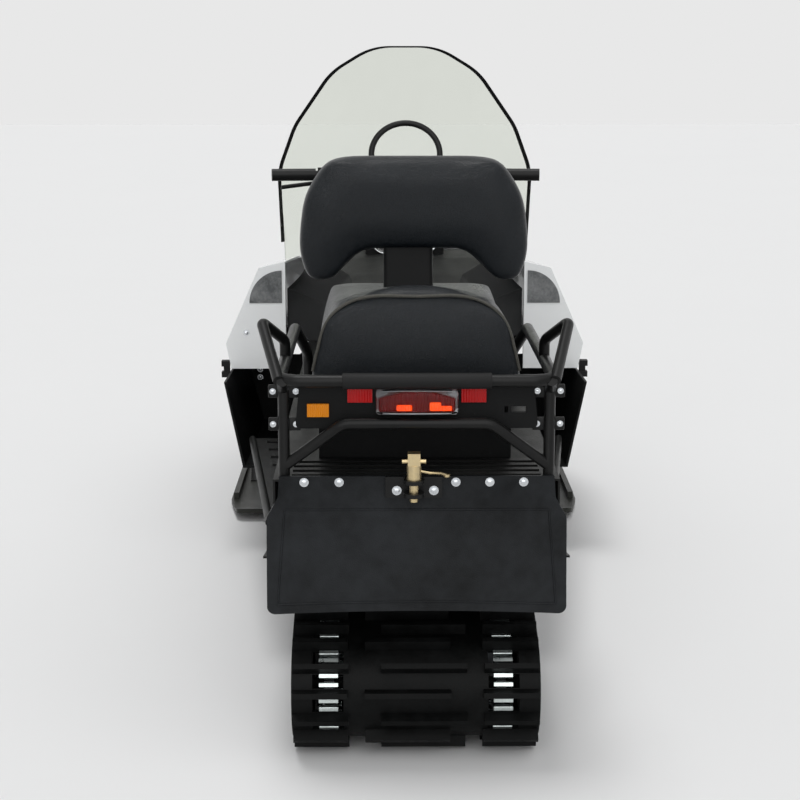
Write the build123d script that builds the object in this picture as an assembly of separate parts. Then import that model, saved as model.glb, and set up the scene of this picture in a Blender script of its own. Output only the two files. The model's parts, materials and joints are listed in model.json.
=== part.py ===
from build123d import *
import os
from math import cos, sin, tan, atan2, radians, degrees, pi, hypot

os.makedirs("parts", exist_ok=True)

# Frame: X forward, Y to the left, Z up, millimetres, origin on the ground under the middle.

# General clearances and sheet sizes
OVERRUN = 40.0            # how far every cut runs past its piece
SEAT_GAP = 0.3            # gap left between pieces that rest on each other
SHEET = 4.0               # folded sheet metal
PLASTIC = 6.0             # moulded plastic walls
MOVING_GAP = 8.0          # room between pieces that move past each other

# Track: one closed loop around a rear idler, a rail bend, a sprocket and a top carrier
TRACK_WIDTH = 504.0
TRACK_PITCHES = 78
BELT_THICKNESS = 8.0
LUG_HEIGHT = 22.0
LUG_FOOT = 20.0
LUG_TIP = 11.0
WINDOW_INSET = 74.0       # from the belt's edge to the middle of a row of windows
WINDOW_WIDTH = 63.0
WINDOW_LENGTH = 28.0
IDLER_X = -1275.0
IDLER_LOOP = 105.0
BEND_X = -60.0
BEND_LOOP = 220.0
SPROCKET_X = 250.0
SPROCKET_RISE = 366.0
SPROCKET_LOOP = 80.0
SPROCKET_TEETH = 10
CARRIER_X = -520.0
CARRIER_RISE = 405.0
CARRIER_LOOP = 65.0
# Lugs of one row, left and right edge of each, as shares of the track's half width
LUG_EDGE_SHARES = ((0.99, 0.54), (0.28, -0.41), (-0.55, -0.99))

GROUND_RUN = BELT_THICKNESS / 2 + LUG_HEIGHT
IDLER_RISE = GROUND_RUN + IDLER_LOOP
BEND_RISE = GROUND_RUN + BEND_LOOP
BELT_INSIDE = GROUND_RUN + BELT_THICKNESS / 2
TRACK_HALF = TRACK_WIDTH / 2
WINDOW_CENTRE = TRACK_HALF - WINDOW_INSET

# Slide rails, their wheels, axles and arms
RAIL_OFFSET = WINDOW_CENTRE
RAIL_THICKNESS = 20.0
RAIL_HEIGHT = 58.0
RAIL_TAIL_X = -1235.0
RAIL_SWEEP = 38.0         # degrees that the rail's nose climbs round the bend
SLIDER_HEIGHT = 14.0
AXLE_RADIUS = 12.0
WHEEL_WIDTH = 24.0
WHEEL_GROOVE = 16.0
BOGIE_RADIUS = 62.0
ARM_TUBE = 16.0
ARM_HALF = 120.0
SHOCK_RADIUS = 18.0
SHOCK_BODY_SHARE = 0.6
INNER_WHEEL_Y = 95.0
OUTER_WHEEL_Y = RAIL_OFFSET + 44.0
IDLER_OFFSETS = (INNER_WHEEL_Y, OUTER_WHEEL_Y)
BOGIE_OFFSETS = (OUTER_WHEEL_Y,)

# Places along X of the axles and arms that pass through the rails
BOGIE_PLACES_X = (-960.0, -660.0, -360.0)
BOGIE_RISE = BELT_INSIDE + SEAT_GAP + BOGIE_RADIUS
REAR_ARM_FOOT_X = -500.0
REAR_ARM_HEAD_X = -690.0
REAR_ARM_HEAD_RISE = 352.0
FRONT_ARM_FOOT_X = -90.0
FRONT_ARM_HEAD_X = 60.0
FRONT_ARM_HEAD_RISE = 380.0
ARM_FOOT_SHARE = 0.6
ARM_FOOT_RISE = BELT_INSIDE + ARM_FOOT_SHARE * RAIL_HEIGHT

# Tunnel, running boards and the front of the frame
TRACK_ROOM = 24.0
TUNNEL_WIDTH = TRACK_WIDTH + 2 * (TRACK_ROOM + SHEET)
TUNNEL_TOP = 600.0
TUNNEL_REAR_X = -1400.0
TUNNEL_FRONT_X = 380.0
TUNNEL_SKIRT_FRONT = 322.0
TUNNEL_SKIRT_REAR = 440.0
TUNNEL_SKIRT_KNEE_X = -760.0
FLANGE_WIDTH = 22.0
RIB_HEIGHT = 6.0
RIB_WIDTH = 18.0
RIB_COUNT = 4
TUNNEL_HALF = TUNNEL_WIDTH / 2

BOARD_TOP = 330.0
BOARD_FRONT_X = 100.0
BOARD_REAR_X = TUNNEL_SKIRT_KNEE_X + SEAT_GAP
BOARD_FRONT_REACH = 160.0  # from the tunnel's side to the board's edge
BOARD_REAR_REACH = 54.0
BOARD_FRONT_HALF = TUNNEL_HALF + BOARD_FRONT_REACH
BOARD_REAR_HALF = TUNNEL_HALF + BOARD_REAR_REACH
BOARD_TUBE = 10.0
BOARD_SLOT = 26.0
BOARD_SLOT_PITCH = 90.0

# Footwells and the belly pan under the hood, black plastic
PAN_REAR_X = 110.0
PAN_WAIST_X = 640.0
PAN_FRONT_X = 1225.0
FOOTWELL_DEPTH = 300.0
FOOTWELL_WIDTH = 190.0    # from the tunnel's side, along the footwell's floor
PAN_FLARE = 50.0          # how much wider a footwell is at its top
PAN_HALF_BOTTOM = TUNNEL_HALF + FOOTWELL_WIDTH
PAN_HALF_TOP = PAN_HALF_BOTTOM + PAN_FLARE
PAN_BOTTOM = 240.0
PAN_TOP = 492.0
# x, half width of the top and the bottom, heights of the bottom and the top
PAN_STATIONS = (
    (PAN_REAR_X, PAN_HALF_TOP, PAN_HALF_BOTTOM, PAN_BOTTOM, PAN_TOP),
    (PAN_REAR_X + FOOTWELL_DEPTH, 516.0, 462.0, PAN_BOTTOM, 488.0),
    (PAN_WAIST_X, 504.0, 450.0, 262.0, 478.0),
)
NOSE_STATIONS = (
    (PAN_WAIST_X - PLASTIC, 330.0, 300.0, 214.0, 478.0),
    (1000.0, 304.0, 262.0, 236.0, 450.0),
    (PAN_FRONT_X, 232.0, 170.0, 310.0, 436.0),
    (1330.0, 128.0, 90.0, 372.0, 430.0),
)
ROD_PORT = 44.0
ROD_PORT_SHIFT = 10.0

# Steering and skis
SKI_STANCE = 466.0
SPINDLE_X = 880.0
SPINDLE_RISE = 110.0
CASTER = 15.0
STRUT_RADIUS = 28.0
STRUT_LOW = 330.0
STRUT_TOP = 552.0
LEG_RADIUS = 22.0
LEG_CLEARANCE = 0.3
GAITER_RADIUS = 34.0
GAITER_FOLDS = 5
GAITER_LOW = 232.0
ARM_REACH = 105.0
ARM_RISE = 205.0
ARM_EYE_X = SPINDLE_X - (ARM_RISE - SPINDLE_RISE) * tan(radians(CASTER)) - ARM_REACH
ARM_EYE_Y = SKI_STANCE - 26.0
ARM_EYE_RISE = ARM_RISE + 60.0
ARM_PLATE = 14.0
BEAM_DEPTH = 46.0
BEAM_RISE = 524.0
FRAME_ARM = 36.0
FRAME_ARM_Y = 236.0
STUD_TOP = 420.0
FORK_HEIGHT = 2.4 * LEG_RADIUS
SADDLE_LENGTH = 220.0
SADDLE_INSET = 10.0
SADDLE_HEAD = 26.0
TIE_ROD = 9.0
TIE_ROD_INNER = 180.0
BALL_RADIUS = 14.0
SKI_WIDTH = 162.0
SKI_TAIL_X = 385.0
SKI_TIP_X = 1475.0
SKI_TIP_RISE = 205.0
SKI_SOLE = 12.0
SKI_SKIN = 14.0
SKI_RIM = 16.0
SKI_RIM_HEIGHT = 26.0
SKI_FLAT_SHARE = 0.42     # how much of the ski ahead of the spindle is flat
SKI_CURVE_SHARE = 0.58    # where along the turned-up tip its curve is given
SKI_CURVE_RISE_SHARE = 0.30
SKI_NARROW_SHARE = 0.62
SKI_TAIL_LIFT = 14.0
SKI_TAIL_RUN = 60.0
SKI_HANDLE_TUBE = 7.0
SKI_HANDLE_RISE = 292.0
KEEL_WIDTH = 26.0
RUNNER_RADIUS = 6.0

# Hood stations along X, and each station's half widths and heights
HOOD_SKIN = 6.0
HOOD_REAR_X = 300.0
HOOD_NOTCH_X = 470.0
HOOD_NOTCH_REAR_HALF = 352.0
HOOD_NOTCH_FRONT_HALF = 318.0
# x, half width and height of the lower edge, of the widest line, of the shoulder, height of the crown
HOOD_STATIONS = (
    (300.0, 516.0, 500.0, 530.0, 572.0, 430.0, 796.0, 852.0),
    (620.0, 516.0, 486.0, 526.0, 566.0, 412.0, 770.0, 832.0),
    (900.0, 492.0, 470.0, 500.0, 548.0, 372.0, 714.0, 772.0),
    (1130.0, 392.0, 458.0, 408.0, 522.0, 306.0, 636.0, 684.0),
    (1290.0, 268.0, 450.0, 284.0, 498.0, 220.0, 566.0, 598.0),
    (1360.0, 150.0, 446.0, 160.0, 480.0, 120.0, 526.0, 546.0),
)

# Louvres in the hood's shoulders, lamps in its front, panels on its rear wall
LOUVRE_COUNT = 4
LOUVRE_X = 800.0
LOUVRE_RISE = 584.0
LOUVRE_PITCH = 22.0
LOUVRE_LENGTH = 150.0
LOUVRE_HEIGHT = 9.0
HEADLAMP_PROUD = 5.0
HEADLAMP_REAR_X = 1150.0
HEADLAMP_FRONT_X = 1268.0
HEADLAMP_INNER = 26.0
HEADLAMP_OUTER = 192.0
HOOD_PANEL_THICKNESS = 3.0
HOOD_PANEL_LOW = 693.0
HOOD_PANEL_INNER = 362.0
HOOD_PANEL_RADIUS = 96.0

# Hood hinge, ahead of the hood's front edge
HINGE_X = 1374.0
HINGE_RISE = 440.0
HINGE_PIN = 6.0
HINGE_EAR = 12.0
HINGE_EAR_Y = 60.0
HINGE_ARM_Y = 80.0
HINGE_FOOT_X = 1262.0
EAR_LOW = 428.0
EAR_HIGH = 478.0
EAR_SHOULDER = 452.0

# Latches over the joint of hood and pan
LATCH_X = 310.0
LATCH_Y = 532.5
LATCH_RISE = 494.5
LATCH_LENGTH = 26.0
LATCH_DEPTH = 24.0
LATCH_HEIGHT = 49.0
LATCH_WAIST = 15.0

# Front bumper, a bent tube round the pan's nose
BUMPER_TUBE = 13.0
BUMPER_ROOT_X = 1130.0
BUMPER_ROOT_RISE = 330.0
BUMPER_HALF = 158.0
BUMPER_FRONT_X = 1424.0
BUMPER_RISE = 388.0
BUMPER_BEND = 60.0

# Windshield, a leaning curved sheet with its bottom on the hood
SCREEN_THICKNESS = 4.0
SCREEN_FOOT = 800.0
SCREEN_HEAD = 1440.0
SCREEN_FOOT_X = 655.0
SCREEN_HEAD_X = 345.0
SCREEN_CHORD = 400.0
SCREEN_FOOT_SWEEP = 262.0
SCREEN_HEAD_SWEEP = 145.0
SCREEN_CORNER = 190.0
TRIM_WIDTH = 9.0
# half width and height of the outline, from the top middle down to the hood
SCREEN_OUTLINE = ((97.0, 1434.0), (217.0, 1362.0), (324.0, 1209.0), (372.0, 1080.0), (369.0, 880.0))

# Console, seat and backrest
CONSOLE_FRONT_X = 455.0
CONSOLE_TOP = 832.0
CONSOLE_GAP = 6.0
CONSOLE_WAIST_SHARE = 0.6
POD_REAR_X = 372.0
POD_FRONT_X = 448.0
POD_ROOF = 12.0
POD_HALF = 116.0
POD_TOP = 918.0
POD_FACE_LOW = 846.0
GAUGE_Y = 55.0
GAUGE_RADIUS = 40.0
GAUGE_DEPTH = 3.0
CAP_X = 20.0
CAP_RADIUS = 42.0
CAP_TOP = 808.0
SEAT_HALF = 210.0
SEAT_BASE_HALF = 196.0
STEP_FRONT_X = -640.0
STEP_REAR_X = -700.0
CUSHION = 60.0
SEAT_BASE_REAR_X = -1232.0
SEAT_FLOOR = 753.0
SEAT_DRIVER = 780.0
SEAT_FRONT_X = -60.0
# x, half width of the foot and of the top, height of the top
CONSOLE_STATIONS = (
    (SEAT_FRONT_X + SEAT_GAP, 176.0, 132.0, 764.0),
    (120.0, 230.0, 160.0, 800.0),
    (HOOD_REAR_X, HOOD_NOTCH_REAR_HALF - CONSOLE_GAP, 250.0, 826.0),
    (CONSOLE_FRONT_X, HOOD_NOTCH_FRONT_HALF - CONSOLE_GAP, 280.0, CONSOLE_TOP),
)
SEAT_REAR_X = -1340.0
# the cushion's side view, from the top of its front end to the foot of its rear end
SEAT_PROFILE = (
    (SEAT_FRONT_X, 776.0), (-200.0, 772.0), (-540.0, SEAT_DRIVER), (-640.0, 884.0),
    (-1060.0, 896.0), (-1230.0, 962.0), (-1300.0, 975.0), (-1338.0, 930.0),
)
SEAT_PROFILE_BENDS = (12.0, 60.0, 30.0, 30.0, 60.0, 60.0, 12.0, 20.0)
SEAT_SIDE_TOP = 794.0
SEAT_CROWN_HALF = 184.0
SEAT_CROWN_EDGE = 903.0
SEAT_CROWN = 977.0
BACKREST_X = -1040.0
BACKREST_THICKNESS = 92.0
BACKREST_LOW = 942.0
BACKREST_HOLLOW = 1010.0
# half width and height of its outline, from the top down to the hollow
BACKREST_OUTLINE = (
    (180.0, 1205.0), (232.0, 1120.0), (244.0, 1010.0), (226.0, BACKREST_LOW),
    (170.0, BACKREST_LOW), (110.0, BACKREST_HOLLOW),
)
BACKREST_BENDS = (60.0, 60.0, 60.0, 22.0, 22.0, 40.0)
POST_WIDTH = 90.0
POST_THICKNESS = 24.0
POST_Y = 12.0
POST_TOP = 1075.0

# Rack, lamps, flap and hitch at the rear
RACK_TUBE = 12.5
RACK_RAIL = 11.0
RACK_REAR_X = -1420.0
RACK_RISE = 799.0
RACK_HALF = 265.0
RACK_FRONT_X = -620.0
RACK_BEND = 45.0
RACK_FOOT_INSET = 20.0
RACK_KNEE = 110.0
RACK_KNEE_RUN = 180.0
RACK_SLEEVE = 286.0
RACK_POST_SHIFT = 32.0
RACK_POST_INSET = 7.0
BRACE_LOW = 24.0
BRACE_HALF = 142.0
BRACE_RISE = 715.0
LOOP_RUN = 170.0
LOOP_END = 227.0
LOOP_STEP = 40.0
LOOP_BEND = 20.0
LOOP_RISE = 887.0
LOOP_HALF = 308.0
LAMP_PANEL_X = -1392.0
LAMP_PANEL_THICKNESS = 12.0
FLAP_THICKNESS = 8.0
FLAP_TOP = 608.0
FLAP_BOTTOM = 318.0
FLAP_BEND_SHARE = 0.783   # how high up the flap its bend is
FLAP_BEND = FLAP_BOTTOM + FLAP_BEND_SHARE * (FLAP_TOP - FLAP_BOTTOM)
FLAP_HALF = TUNNEL_HALF + 13.0
FLAP_TOP_HALF = TUNNEL_HALF - 15.0
FLAP_CORNER = 17.0
FLAP_SHOULDER = 20.0
FLAP_FLARE = 6.0
HITCH_THICKNESS = 8.0
HITCH_PIN_RADIUS = 9.0

LAMP_PANEL_LOW = 700.0
LAMP_PANEL_TOP = 796.0
LAMP_PANEL_HALF = 236.0
LAMP_PANEL_TAPER = 10.0
LAMP_PANEL_CORNER = 10.0
WEB_Y = 180.0
WEB_HEIGHT = 50.0
AMBER_Y = 191.0
AMBER_RISE = 737.0
AMBER_WIDTH = 42.0
AMBER_HEIGHT = 25.0
LAMP_HALF = 80.0
LAMP_DEPTH = 40.0
LAMP_LOW = 732.0
LAMP_TOP = 782.0
REFLECTOR_DEPTH = 8.0
REFLECTOR_Y = 110.0
REFLECTOR_RISE = 767.0
REFLECTOR_WIDTH = 48.0
REFLECTOR_HEIGHT = 28.0
FLAP_SWEEP = 30.0
HITCH_REACH = 20.0
HITCH_Y = 6.0
HITCH_RISE = 588.0
HITCH_WIDTH = 110.0
HITCH_HEIGHT = 42.0
HITCH_EAR = 20.0
HITCH_EAR_LOW = 575.0
HITCH_EAR_HIGH = 601.0
HITCH_PIN_X = TUNNEL_REAR_X - 2 * SEAT_GAP - FLAP_THICKNESS - HITCH_THICKNESS - HITCH_REACH
PIN_TIP_RADIUS = 8.0
PIN_TIP_REACH = 10.0
PIN_HEAD_RADIUS = 10.5
PIN_COLLAR_RADIUS = 14.0
PIN_COLLAR_TOP = 638.0
PIN_HEAD_WIDTH = 24.0

# Handlebar
BAR_X = 130.0
BAR_RISE = 1080.0
BAR_HALF = 371.0
BAR_RADIUS = 11.0
BAR_SWEEP = 20.0
BAR_KNEE = 200.0
BAR_CENTRE_HALF = 100.0
BAR_BEND = 50.0
HOOP_BEND = 60.0
GRIP_RADIUS = 17.0
GRIP_LENGTH = 118.0
SWITCH_Y = 226.0
SWITCH_WIDTH = 40.0
SWITCH_DEPTH = 42.0
LEVER_RADIUS = 6.0
LEVER_REACH = 42.0
LEVER_BEND = 14.0
LEVER_END_Y = 352.0
THUMB_Y = 272.0
THUMB_REACH = 34.0
COLUMN_DEPTH = 150.0
COLUMN_FOOT = 120.0
BEARING_LOW = 15.0
BEARING_TOP = 45.0
COLUMN_DROP = BAR_RISE - CONSOLE_TOP + 60.0
COLUMN_TILT = 28.0
COLUMN_RADIUS = 16.0
HOOP_HALF = 95.0
HOOP_RISE = 1222.0
HOOP_X = 170.0

# Engine block against the tunnel's front
ENGINE_LENGTH = 340.0
ENGINE_WIDTH = 400.0
ENGINE_HEIGHT = 262.0
ENGINE_TOP = 592.0


def side_prism(profile, y_from, y_to):
    """Extrude a sketch drawn in X and Z from one Y to another."""
    return extrude(Plane.XZ.offset(-y_from) * profile, -(y_to - y_from))


def rear_prism(profile, x_from, x_to):
    """Extrude a sketch drawn in Y and Z from one X to another."""
    return extrude(Plane.YZ.offset(x_from) * profile, x_to - x_from)


def plan_prism(profile, z_from, z_to):
    """Extrude a sketch drawn in X and Y from one Z to another."""
    return extrude(Plane.XY.offset(z_from) * profile, z_to - z_from)


def outline(*points):
    """A closed face through the given corners."""
    return make_face(Polyline(*points, close=True))


def rounded(radius, *points):
    """A closed face through the given corners, each rounded by the radius or by its own."""
    return make_face(FilletPolyline(*points, radius=radius, close=True))


def across(radius, length, x, y, z):
    """A round bar along Y, centred on the given place."""
    return Pos(x, y, z) * Rot(90, 0, 0) * Cylinder(radius, length)


def upright(radius, z_from, z_to, x, y):
    """A round bar along Z between two heights."""
    return Pos(x, y, (z_from + z_to) / 2) * Cylinder(radius, z_to - z_from)


def rod(radius, start, end):
    """A round bar between two places."""
    run = Edge.make_line(start, end)
    return sweep(Plane(origin=run @ 0, z_dir=run % 0) * Circle(radius), path=run)


def bent_tube(radius, bend, *points):
    """A tube of round section through the points, with its corners bent to one radius."""
    path = FilletPolyline(*points, radius=bend)
    return sweep(Plane(origin=path @ 0, z_dir=path % 0) * Circle(radius), path=path)


def mirrored(shape):
    """The same piece on the other side of the machine."""
    return mirror(shape, Plane.XZ)


def both(shape):
    """A piece and its mirror image, side by side."""
    return [shape, mirrored(shape)]


def save(node, pieces):
    """Write one node, given as one shape or as a list of separate ones."""
    parts = pieces if isinstance(pieces, (list, tuple)) else [pieces]
    solids = [solid for part in parts for solid in part.solids()]
    export_step(Compound(solids) if len(solids) > 1 else solids[0], f"parts/{node}.step")


# Track and what runs inside it
def loop_face(offset):
    """The side view of the track's loop, offset from the middle of the belt."""
    circles = (
        (IDLER_X, IDLER_RISE, IDLER_LOOP),
        (BEND_X, BEND_RISE, BEND_LOOP),
        (SPROCKET_X, SPROCKET_RISE, SPROCKET_LOOP),
        (CARRIER_X, CARRIER_RISE, CARRIER_LOOP),
    )
    rims = Sketch() + [Pos(x, z) * Circle(radius + offset) for x, z, radius in circles]
    return make_hull(rims.edges())


def loop_stations(count):
    """Places and headings spaced evenly along the middle of the belt."""
    path = loop_face(0).wire()
    return [(path @ (i / count), path % (i / count)) for i in range(count)]


def station_plane(place, heading, y):
    """A plane at one pitch of the belt, its X along the belt and its Y pointing outward."""
    origin = Vector(place.X, y, place.Y)
    along = Vector(heading.X, 0, heading.Y)
    return Plane(origin=origin, x_dir=along, z_dir=(0, 1, 0))


def track():
    """The rubber belt with its two rows of windows and a row of lugs at every pitch."""
    ring = loop_face(BELT_THICKNESS / 2) - loop_face(-BELT_THICKNESS / 2)
    belt = side_prism(ring, -TRACK_HALF, TRACK_HALF)
    stations = loop_stations(TRACK_PITCHES)
    lug_side = outward_sign(*stations[0])
    root = -lug_side * BELT_THICKNESS / 4
    tip = lug_side * (BELT_THICKNESS / 2 + LUG_HEIGHT)
    lug = Polygon(
        (-LUG_FOOT / 2, root), (LUG_FOOT / 2, root), (LUG_TIP / 2, tip), (-LUG_TIP / 2, tip),
        align=None,
    )
    lugs = []
    windows = []
    half_step = 0.5 / TRACK_PITCHES
    path = loop_face(0).wire()
    for row, (place, heading) in enumerate(stations):
        turn = 1 if row % 2 == 0 else -1
        for left_share, right_share in LUG_EDGE_SHARES:
            edges = sorted((turn * left_share * TRACK_HALF, turn * right_share * TRACK_HALF))
            lugs.append(extrude(station_plane(place, heading, edges[0]) * lug, edges[1] - edges[0]))
        between = row / TRACK_PITCHES + half_step
        for y in (-WINDOW_CENTRE, WINDOW_CENTRE):
            plane = station_plane(path @ between, path % between, y)
            windows.append(plane * Box(WINDOW_LENGTH, 3 * BELT_THICKNESS, WINDOW_WIDTH))
    return belt - windows + lugs


def outward_sign(place, heading):
    """Which side of a station's plane points out of the loop: 1 or -1."""
    plane = station_plane(place, heading, 0)
    middle = Vector(BEND_X, 0, BEND_RISE)
    return 1 if (middle - plane.origin).dot(plane.y_dir) < 0 else -1


def rail_plate():
    """The side view of one rail: a long flat foot that sweeps up round the bend."""
    inner = BEND_LOOP - BELT_THICKNESS / 2 - SEAT_GAP
    foot = BELT_INSIDE + SEAT_GAP
    sweep_up = radians(RAIL_SWEEP)
    half = radians(RAIL_SWEEP / 2)
    top = inner - RAIL_HEIGHT
    nose = (BEND_X + inner * sin(sweep_up), BEND_RISE - inner * cos(sweep_up))
    nose_top = (BEND_X + top * sin(sweep_up), BEND_RISE - top * cos(sweep_up))
    edges = (
        Line((RAIL_TAIL_X, foot), (BEND_X, foot)),
        ThreePointArc(
            (BEND_X, foot),
            (BEND_X + inner * sin(half), BEND_RISE - inner * cos(half)),
            nose,
        ),
        Line(nose, nose_top),
        ThreePointArc(
            nose_top,
            (BEND_X + top * sin(half), BEND_RISE - top * cos(half)),
            (BEND_X, foot + RAIL_HEIGHT),
        ),
        Line((BEND_X, foot + RAIL_HEIGHT), (RAIL_TAIL_X, foot + RAIL_HEIGHT)),
        Line((RAIL_TAIL_X, foot + RAIL_HEIGHT), (RAIL_TAIL_X, foot)),
    )
    return make_face(Curve() + list(edges))


def slide_rails():
    """The two rails with the holes for every axle and arm, and lightening slots."""
    plate = rail_plate()
    axles = [(x, BOGIE_RISE) for x in BOGIE_PLACES_X]
    arms = [(REAR_ARM_FOOT_X, ARM_FOOT_RISE), (FRONT_ARM_FOOT_X, ARM_FOOT_RISE)]
    holes = [Pos(x, z) * Circle(AXLE_RADIUS + SEAT_GAP) for x, z in axles]
    holes += [Pos(x, z) * Circle(ARM_TUBE + SEAT_GAP) for x, z in arms]
    ears = [Pos(x, z) * Circle(2 * AXLE_RADIUS) for x, z in axles]
    tail_ear = outline(
        (RAIL_TAIL_X - SEAT_GAP, BELT_INSIDE + RAIL_HEIGHT / 2),
        (RAIL_TAIL_X + 4 * AXLE_RADIUS, BELT_INSIDE + SLIDER_HEIGHT),
        (RAIL_TAIL_X + 6 * AXLE_RADIUS, BELT_INSIDE + RAIL_HEIGHT),
        (IDLER_X, IDLER_RISE + 2 * AXLE_RADIUS),
        (IDLER_X - 2 * AXLE_RADIUS, IDLER_RISE + AXLE_RADIUS),
        (IDLER_X - 2 * AXLE_RADIUS, IDLER_RISE - AXLE_RADIUS),
    )
    holes.append(Pos(IDLER_X, IDLER_RISE) * Circle(AXLE_RADIUS + SEAT_GAP))
    side = plate + ears + tail_ear - holes
    rail = side_prism(side, RAIL_OFFSET - RAIL_THICKNESS / 2, RAIL_OFFSET + RAIL_THICKNESS / 2)
    return both(rail)


def grooved_wheel(radius, bore, x, y, z):
    """A rubber-rimmed wheel with a dished web on both sides."""
    web = radius - WHEEL_GROOVE
    hub = bore + WHEEL_GROOVE / 2
    wheel = Cylinder(radius, WHEEL_WIDTH) - Cylinder(bore, WHEEL_WIDTH + OVERRUN)
    dish = Cylinder(web, WHEEL_WIDTH / 3) - Cylinder(hub, WHEEL_WIDTH)
    for side in (-1, 1):
        wheel -= Pos(0, 0, side * WHEEL_WIDTH / 3) * dish
    return Pos(x, y, z) * Rot(90, 0, 0) * wheel


def wheel_row(radius, offsets, x, z):
    """Mirrored pairs of wheels on one axle."""
    bore = AXLE_RADIUS + SEAT_GAP
    return [grooved_wheel(radius, bore, x, side * y, z) for y in offsets for side in (-1, 1)]


def rear_idlers():
    """The wheels that the belt turns round at the rear, with their axle."""
    radius = IDLER_LOOP - BELT_THICKNESS / 2 - SEAT_GAP
    wheels = wheel_row(radius, IDLER_OFFSETS, IDLER_X, IDLER_RISE)
    return wheels + [across(AXLE_RADIUS, TRACK_WIDTH - 2 * MOVING_GAP, IDLER_X, 0, IDLER_RISE)]


def bogie_wheels():
    """The wheels that carry the rails between their ends, each axle with its pair."""
    pieces = []
    for x in BOGIE_PLACES_X:
        pieces += wheel_row(BOGIE_RADIUS, BOGIE_OFFSETS, x, BOGIE_RISE)
        pieces.append(across(AXLE_RADIUS, TRACK_WIDTH - 2 * MOVING_GAP, x, 0, BOGIE_RISE))
    return pieces


def carrier_wheels():
    """The wheels under the belt's upper run, on an axle hung between the tunnel's walls."""
    radius = CARRIER_LOOP - BELT_THICKNESS / 2 - SEAT_GAP
    wheels = wheel_row(radius, IDLER_OFFSETS, CARRIER_X, CARRIER_RISE)
    length = TUNNEL_WIDTH - 2 * SHEET - 2 * SEAT_GAP
    return wheels + [across(AXLE_RADIUS, length, CARRIER_X, 0, CARRIER_RISE)]


def drive_axle():
    """The driven axle, with a toothed sprocket under each row of windows."""
    length = TUNNEL_WIDTH - 2 * SHEET - 2 * SEAT_GAP
    axle = across(2 * AXLE_RADIUS, length, SPROCKET_X, 0, SPROCKET_RISE)
    root = SPROCKET_LOOP - BELT_THICKNESS / 2 - SEAT_GAP
    disc = Sketch() + Circle(root)
    notch = Circle(root * sin(pi / SPROCKET_TEETH) / 2)
    bites = [Rot(0, 0, 360 * i / SPROCKET_TEETH) * Pos(root, 0) * notch for i in range(SPROCKET_TEETH)]
    disc -= bites
    for y in (-WINDOW_CENTRE, WINDOW_CENTRE):
        face = Pos(SPROCKET_X, SPROCKET_RISE) * disc
        axle += side_prism(face, y - WHEEL_WIDTH / 2, y + WHEEL_WIDTH / 2)
    return axle


def swing_arm(foot_x, head_x, head_rise):
    """A welded arm: a cross tube through the rails, two legs and a cross tube in the tunnel."""
    rail_tube = across(ARM_TUBE, TRACK_WIDTH - 4 * MOVING_GAP, foot_x, 0, ARM_FOOT_RISE)
    head_half = TUNNEL_HALF - SHEET - SEAT_GAP
    head_tube = across(ARM_TUBE, 2 * head_half, head_x, 0, head_rise)
    legs = [
        rod(ARM_TUBE, (foot_x, side * ARM_HALF, ARM_FOOT_RISE), (head_x, side * ARM_HALF, head_rise))
        for side in (-1, 1)
    ]
    return rail_tube + head_tube + legs


def shock(low, high):
    """A damper with an eye round each of two cross tubes, given as x, z and tube radius."""
    (low_x, low_z, low_bore), (high_x, high_z, high_bore) = low, high
    run = hypot(high_x - low_x, high_z - low_z)
    lean = degrees(atan2(high_x - low_x, high_z - low_z))
    wall = SHOCK_RADIUS / 3
    start = low_bore + wall
    end = run - high_bore - wall
    split = start + SHOCK_BODY_SHARE * (end - start)
    rise = Pos(low_x, 0, low_z) * Rot(0, lean, 0)
    damper = upright(SHOCK_RADIUS, start, split, 0, 0) + upright(SHOCK_RADIUS / 2, split, end, 0, 0)
    damper = rise * damper
    for x, z, bore in (low, high):
        eye = across(bore + 2 * wall, 2 * SHOCK_RADIUS, x, 0, z)
        damper += eye
    for x, z, bore in (low, high):
        damper -= across(bore + SEAT_GAP, 2 * SHOCK_RADIUS + OVERRUN, x, 0, z)
    return damper


# Tunnel and running boards
def tunnel():
    """The folded metal tunnel over the track, with ribs on its open rear end."""
    side = outline(
        (TUNNEL_REAR_X, TUNNEL_TOP),
        (TUNNEL_FRONT_X, TUNNEL_TOP),
        (TUNNEL_FRONT_X, TUNNEL_SKIRT_FRONT),
        (TUNNEL_SKIRT_KNEE_X, TUNNEL_SKIRT_FRONT),
        (TUNNEL_REAR_X, TUNNEL_SKIRT_REAR),
    )
    body = side_prism(side, -TUNNEL_HALF, TUNNEL_HALF)
    inner_half = TUNNEL_HALF - SHEET
    hollow = outline(
        (TUNNEL_REAR_X - OVERRUN, 0),
        (TUNNEL_REAR_X - OVERRUN, TUNNEL_TOP - SHEET),
        (TUNNEL_FRONT_X - SHEET, TUNNEL_TOP - SHEET),
        (TUNNEL_FRONT_X - SHEET, 0),
    )
    body -= side_prism(hollow, -inner_half, inner_half)
    for rib in range(RIB_COUNT):
        x = TUNNEL_REAR_X + (2 * rib + 1.5) * RIB_WIDTH
        strip = Pos(x, TUNNEL_TOP) * Rectangle(RIB_WIDTH, 2 * RIB_HEIGHT)
        body += side_prism(strip, -TUNNEL_HALF + 2 * RIB_WIDTH, TUNNEL_HALF - 2 * RIB_WIDTH)
    flange = outline(
        (TUNNEL_REAR_X, TUNNEL_SKIRT_REAR),
        (TUNNEL_SKIRT_KNEE_X, TUNNEL_SKIRT_FRONT),
        (TUNNEL_SKIRT_KNEE_X, TUNNEL_SKIRT_FRONT + SHEET),
        (TUNNEL_REAR_X, TUNNEL_SKIRT_REAR + SHEET),
    )
    lip = side_prism(flange, TUNNEL_HALF - SHEET, TUNNEL_HALF + FLANGE_WIDTH)
    return body + lip + mirrored(lip)


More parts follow.
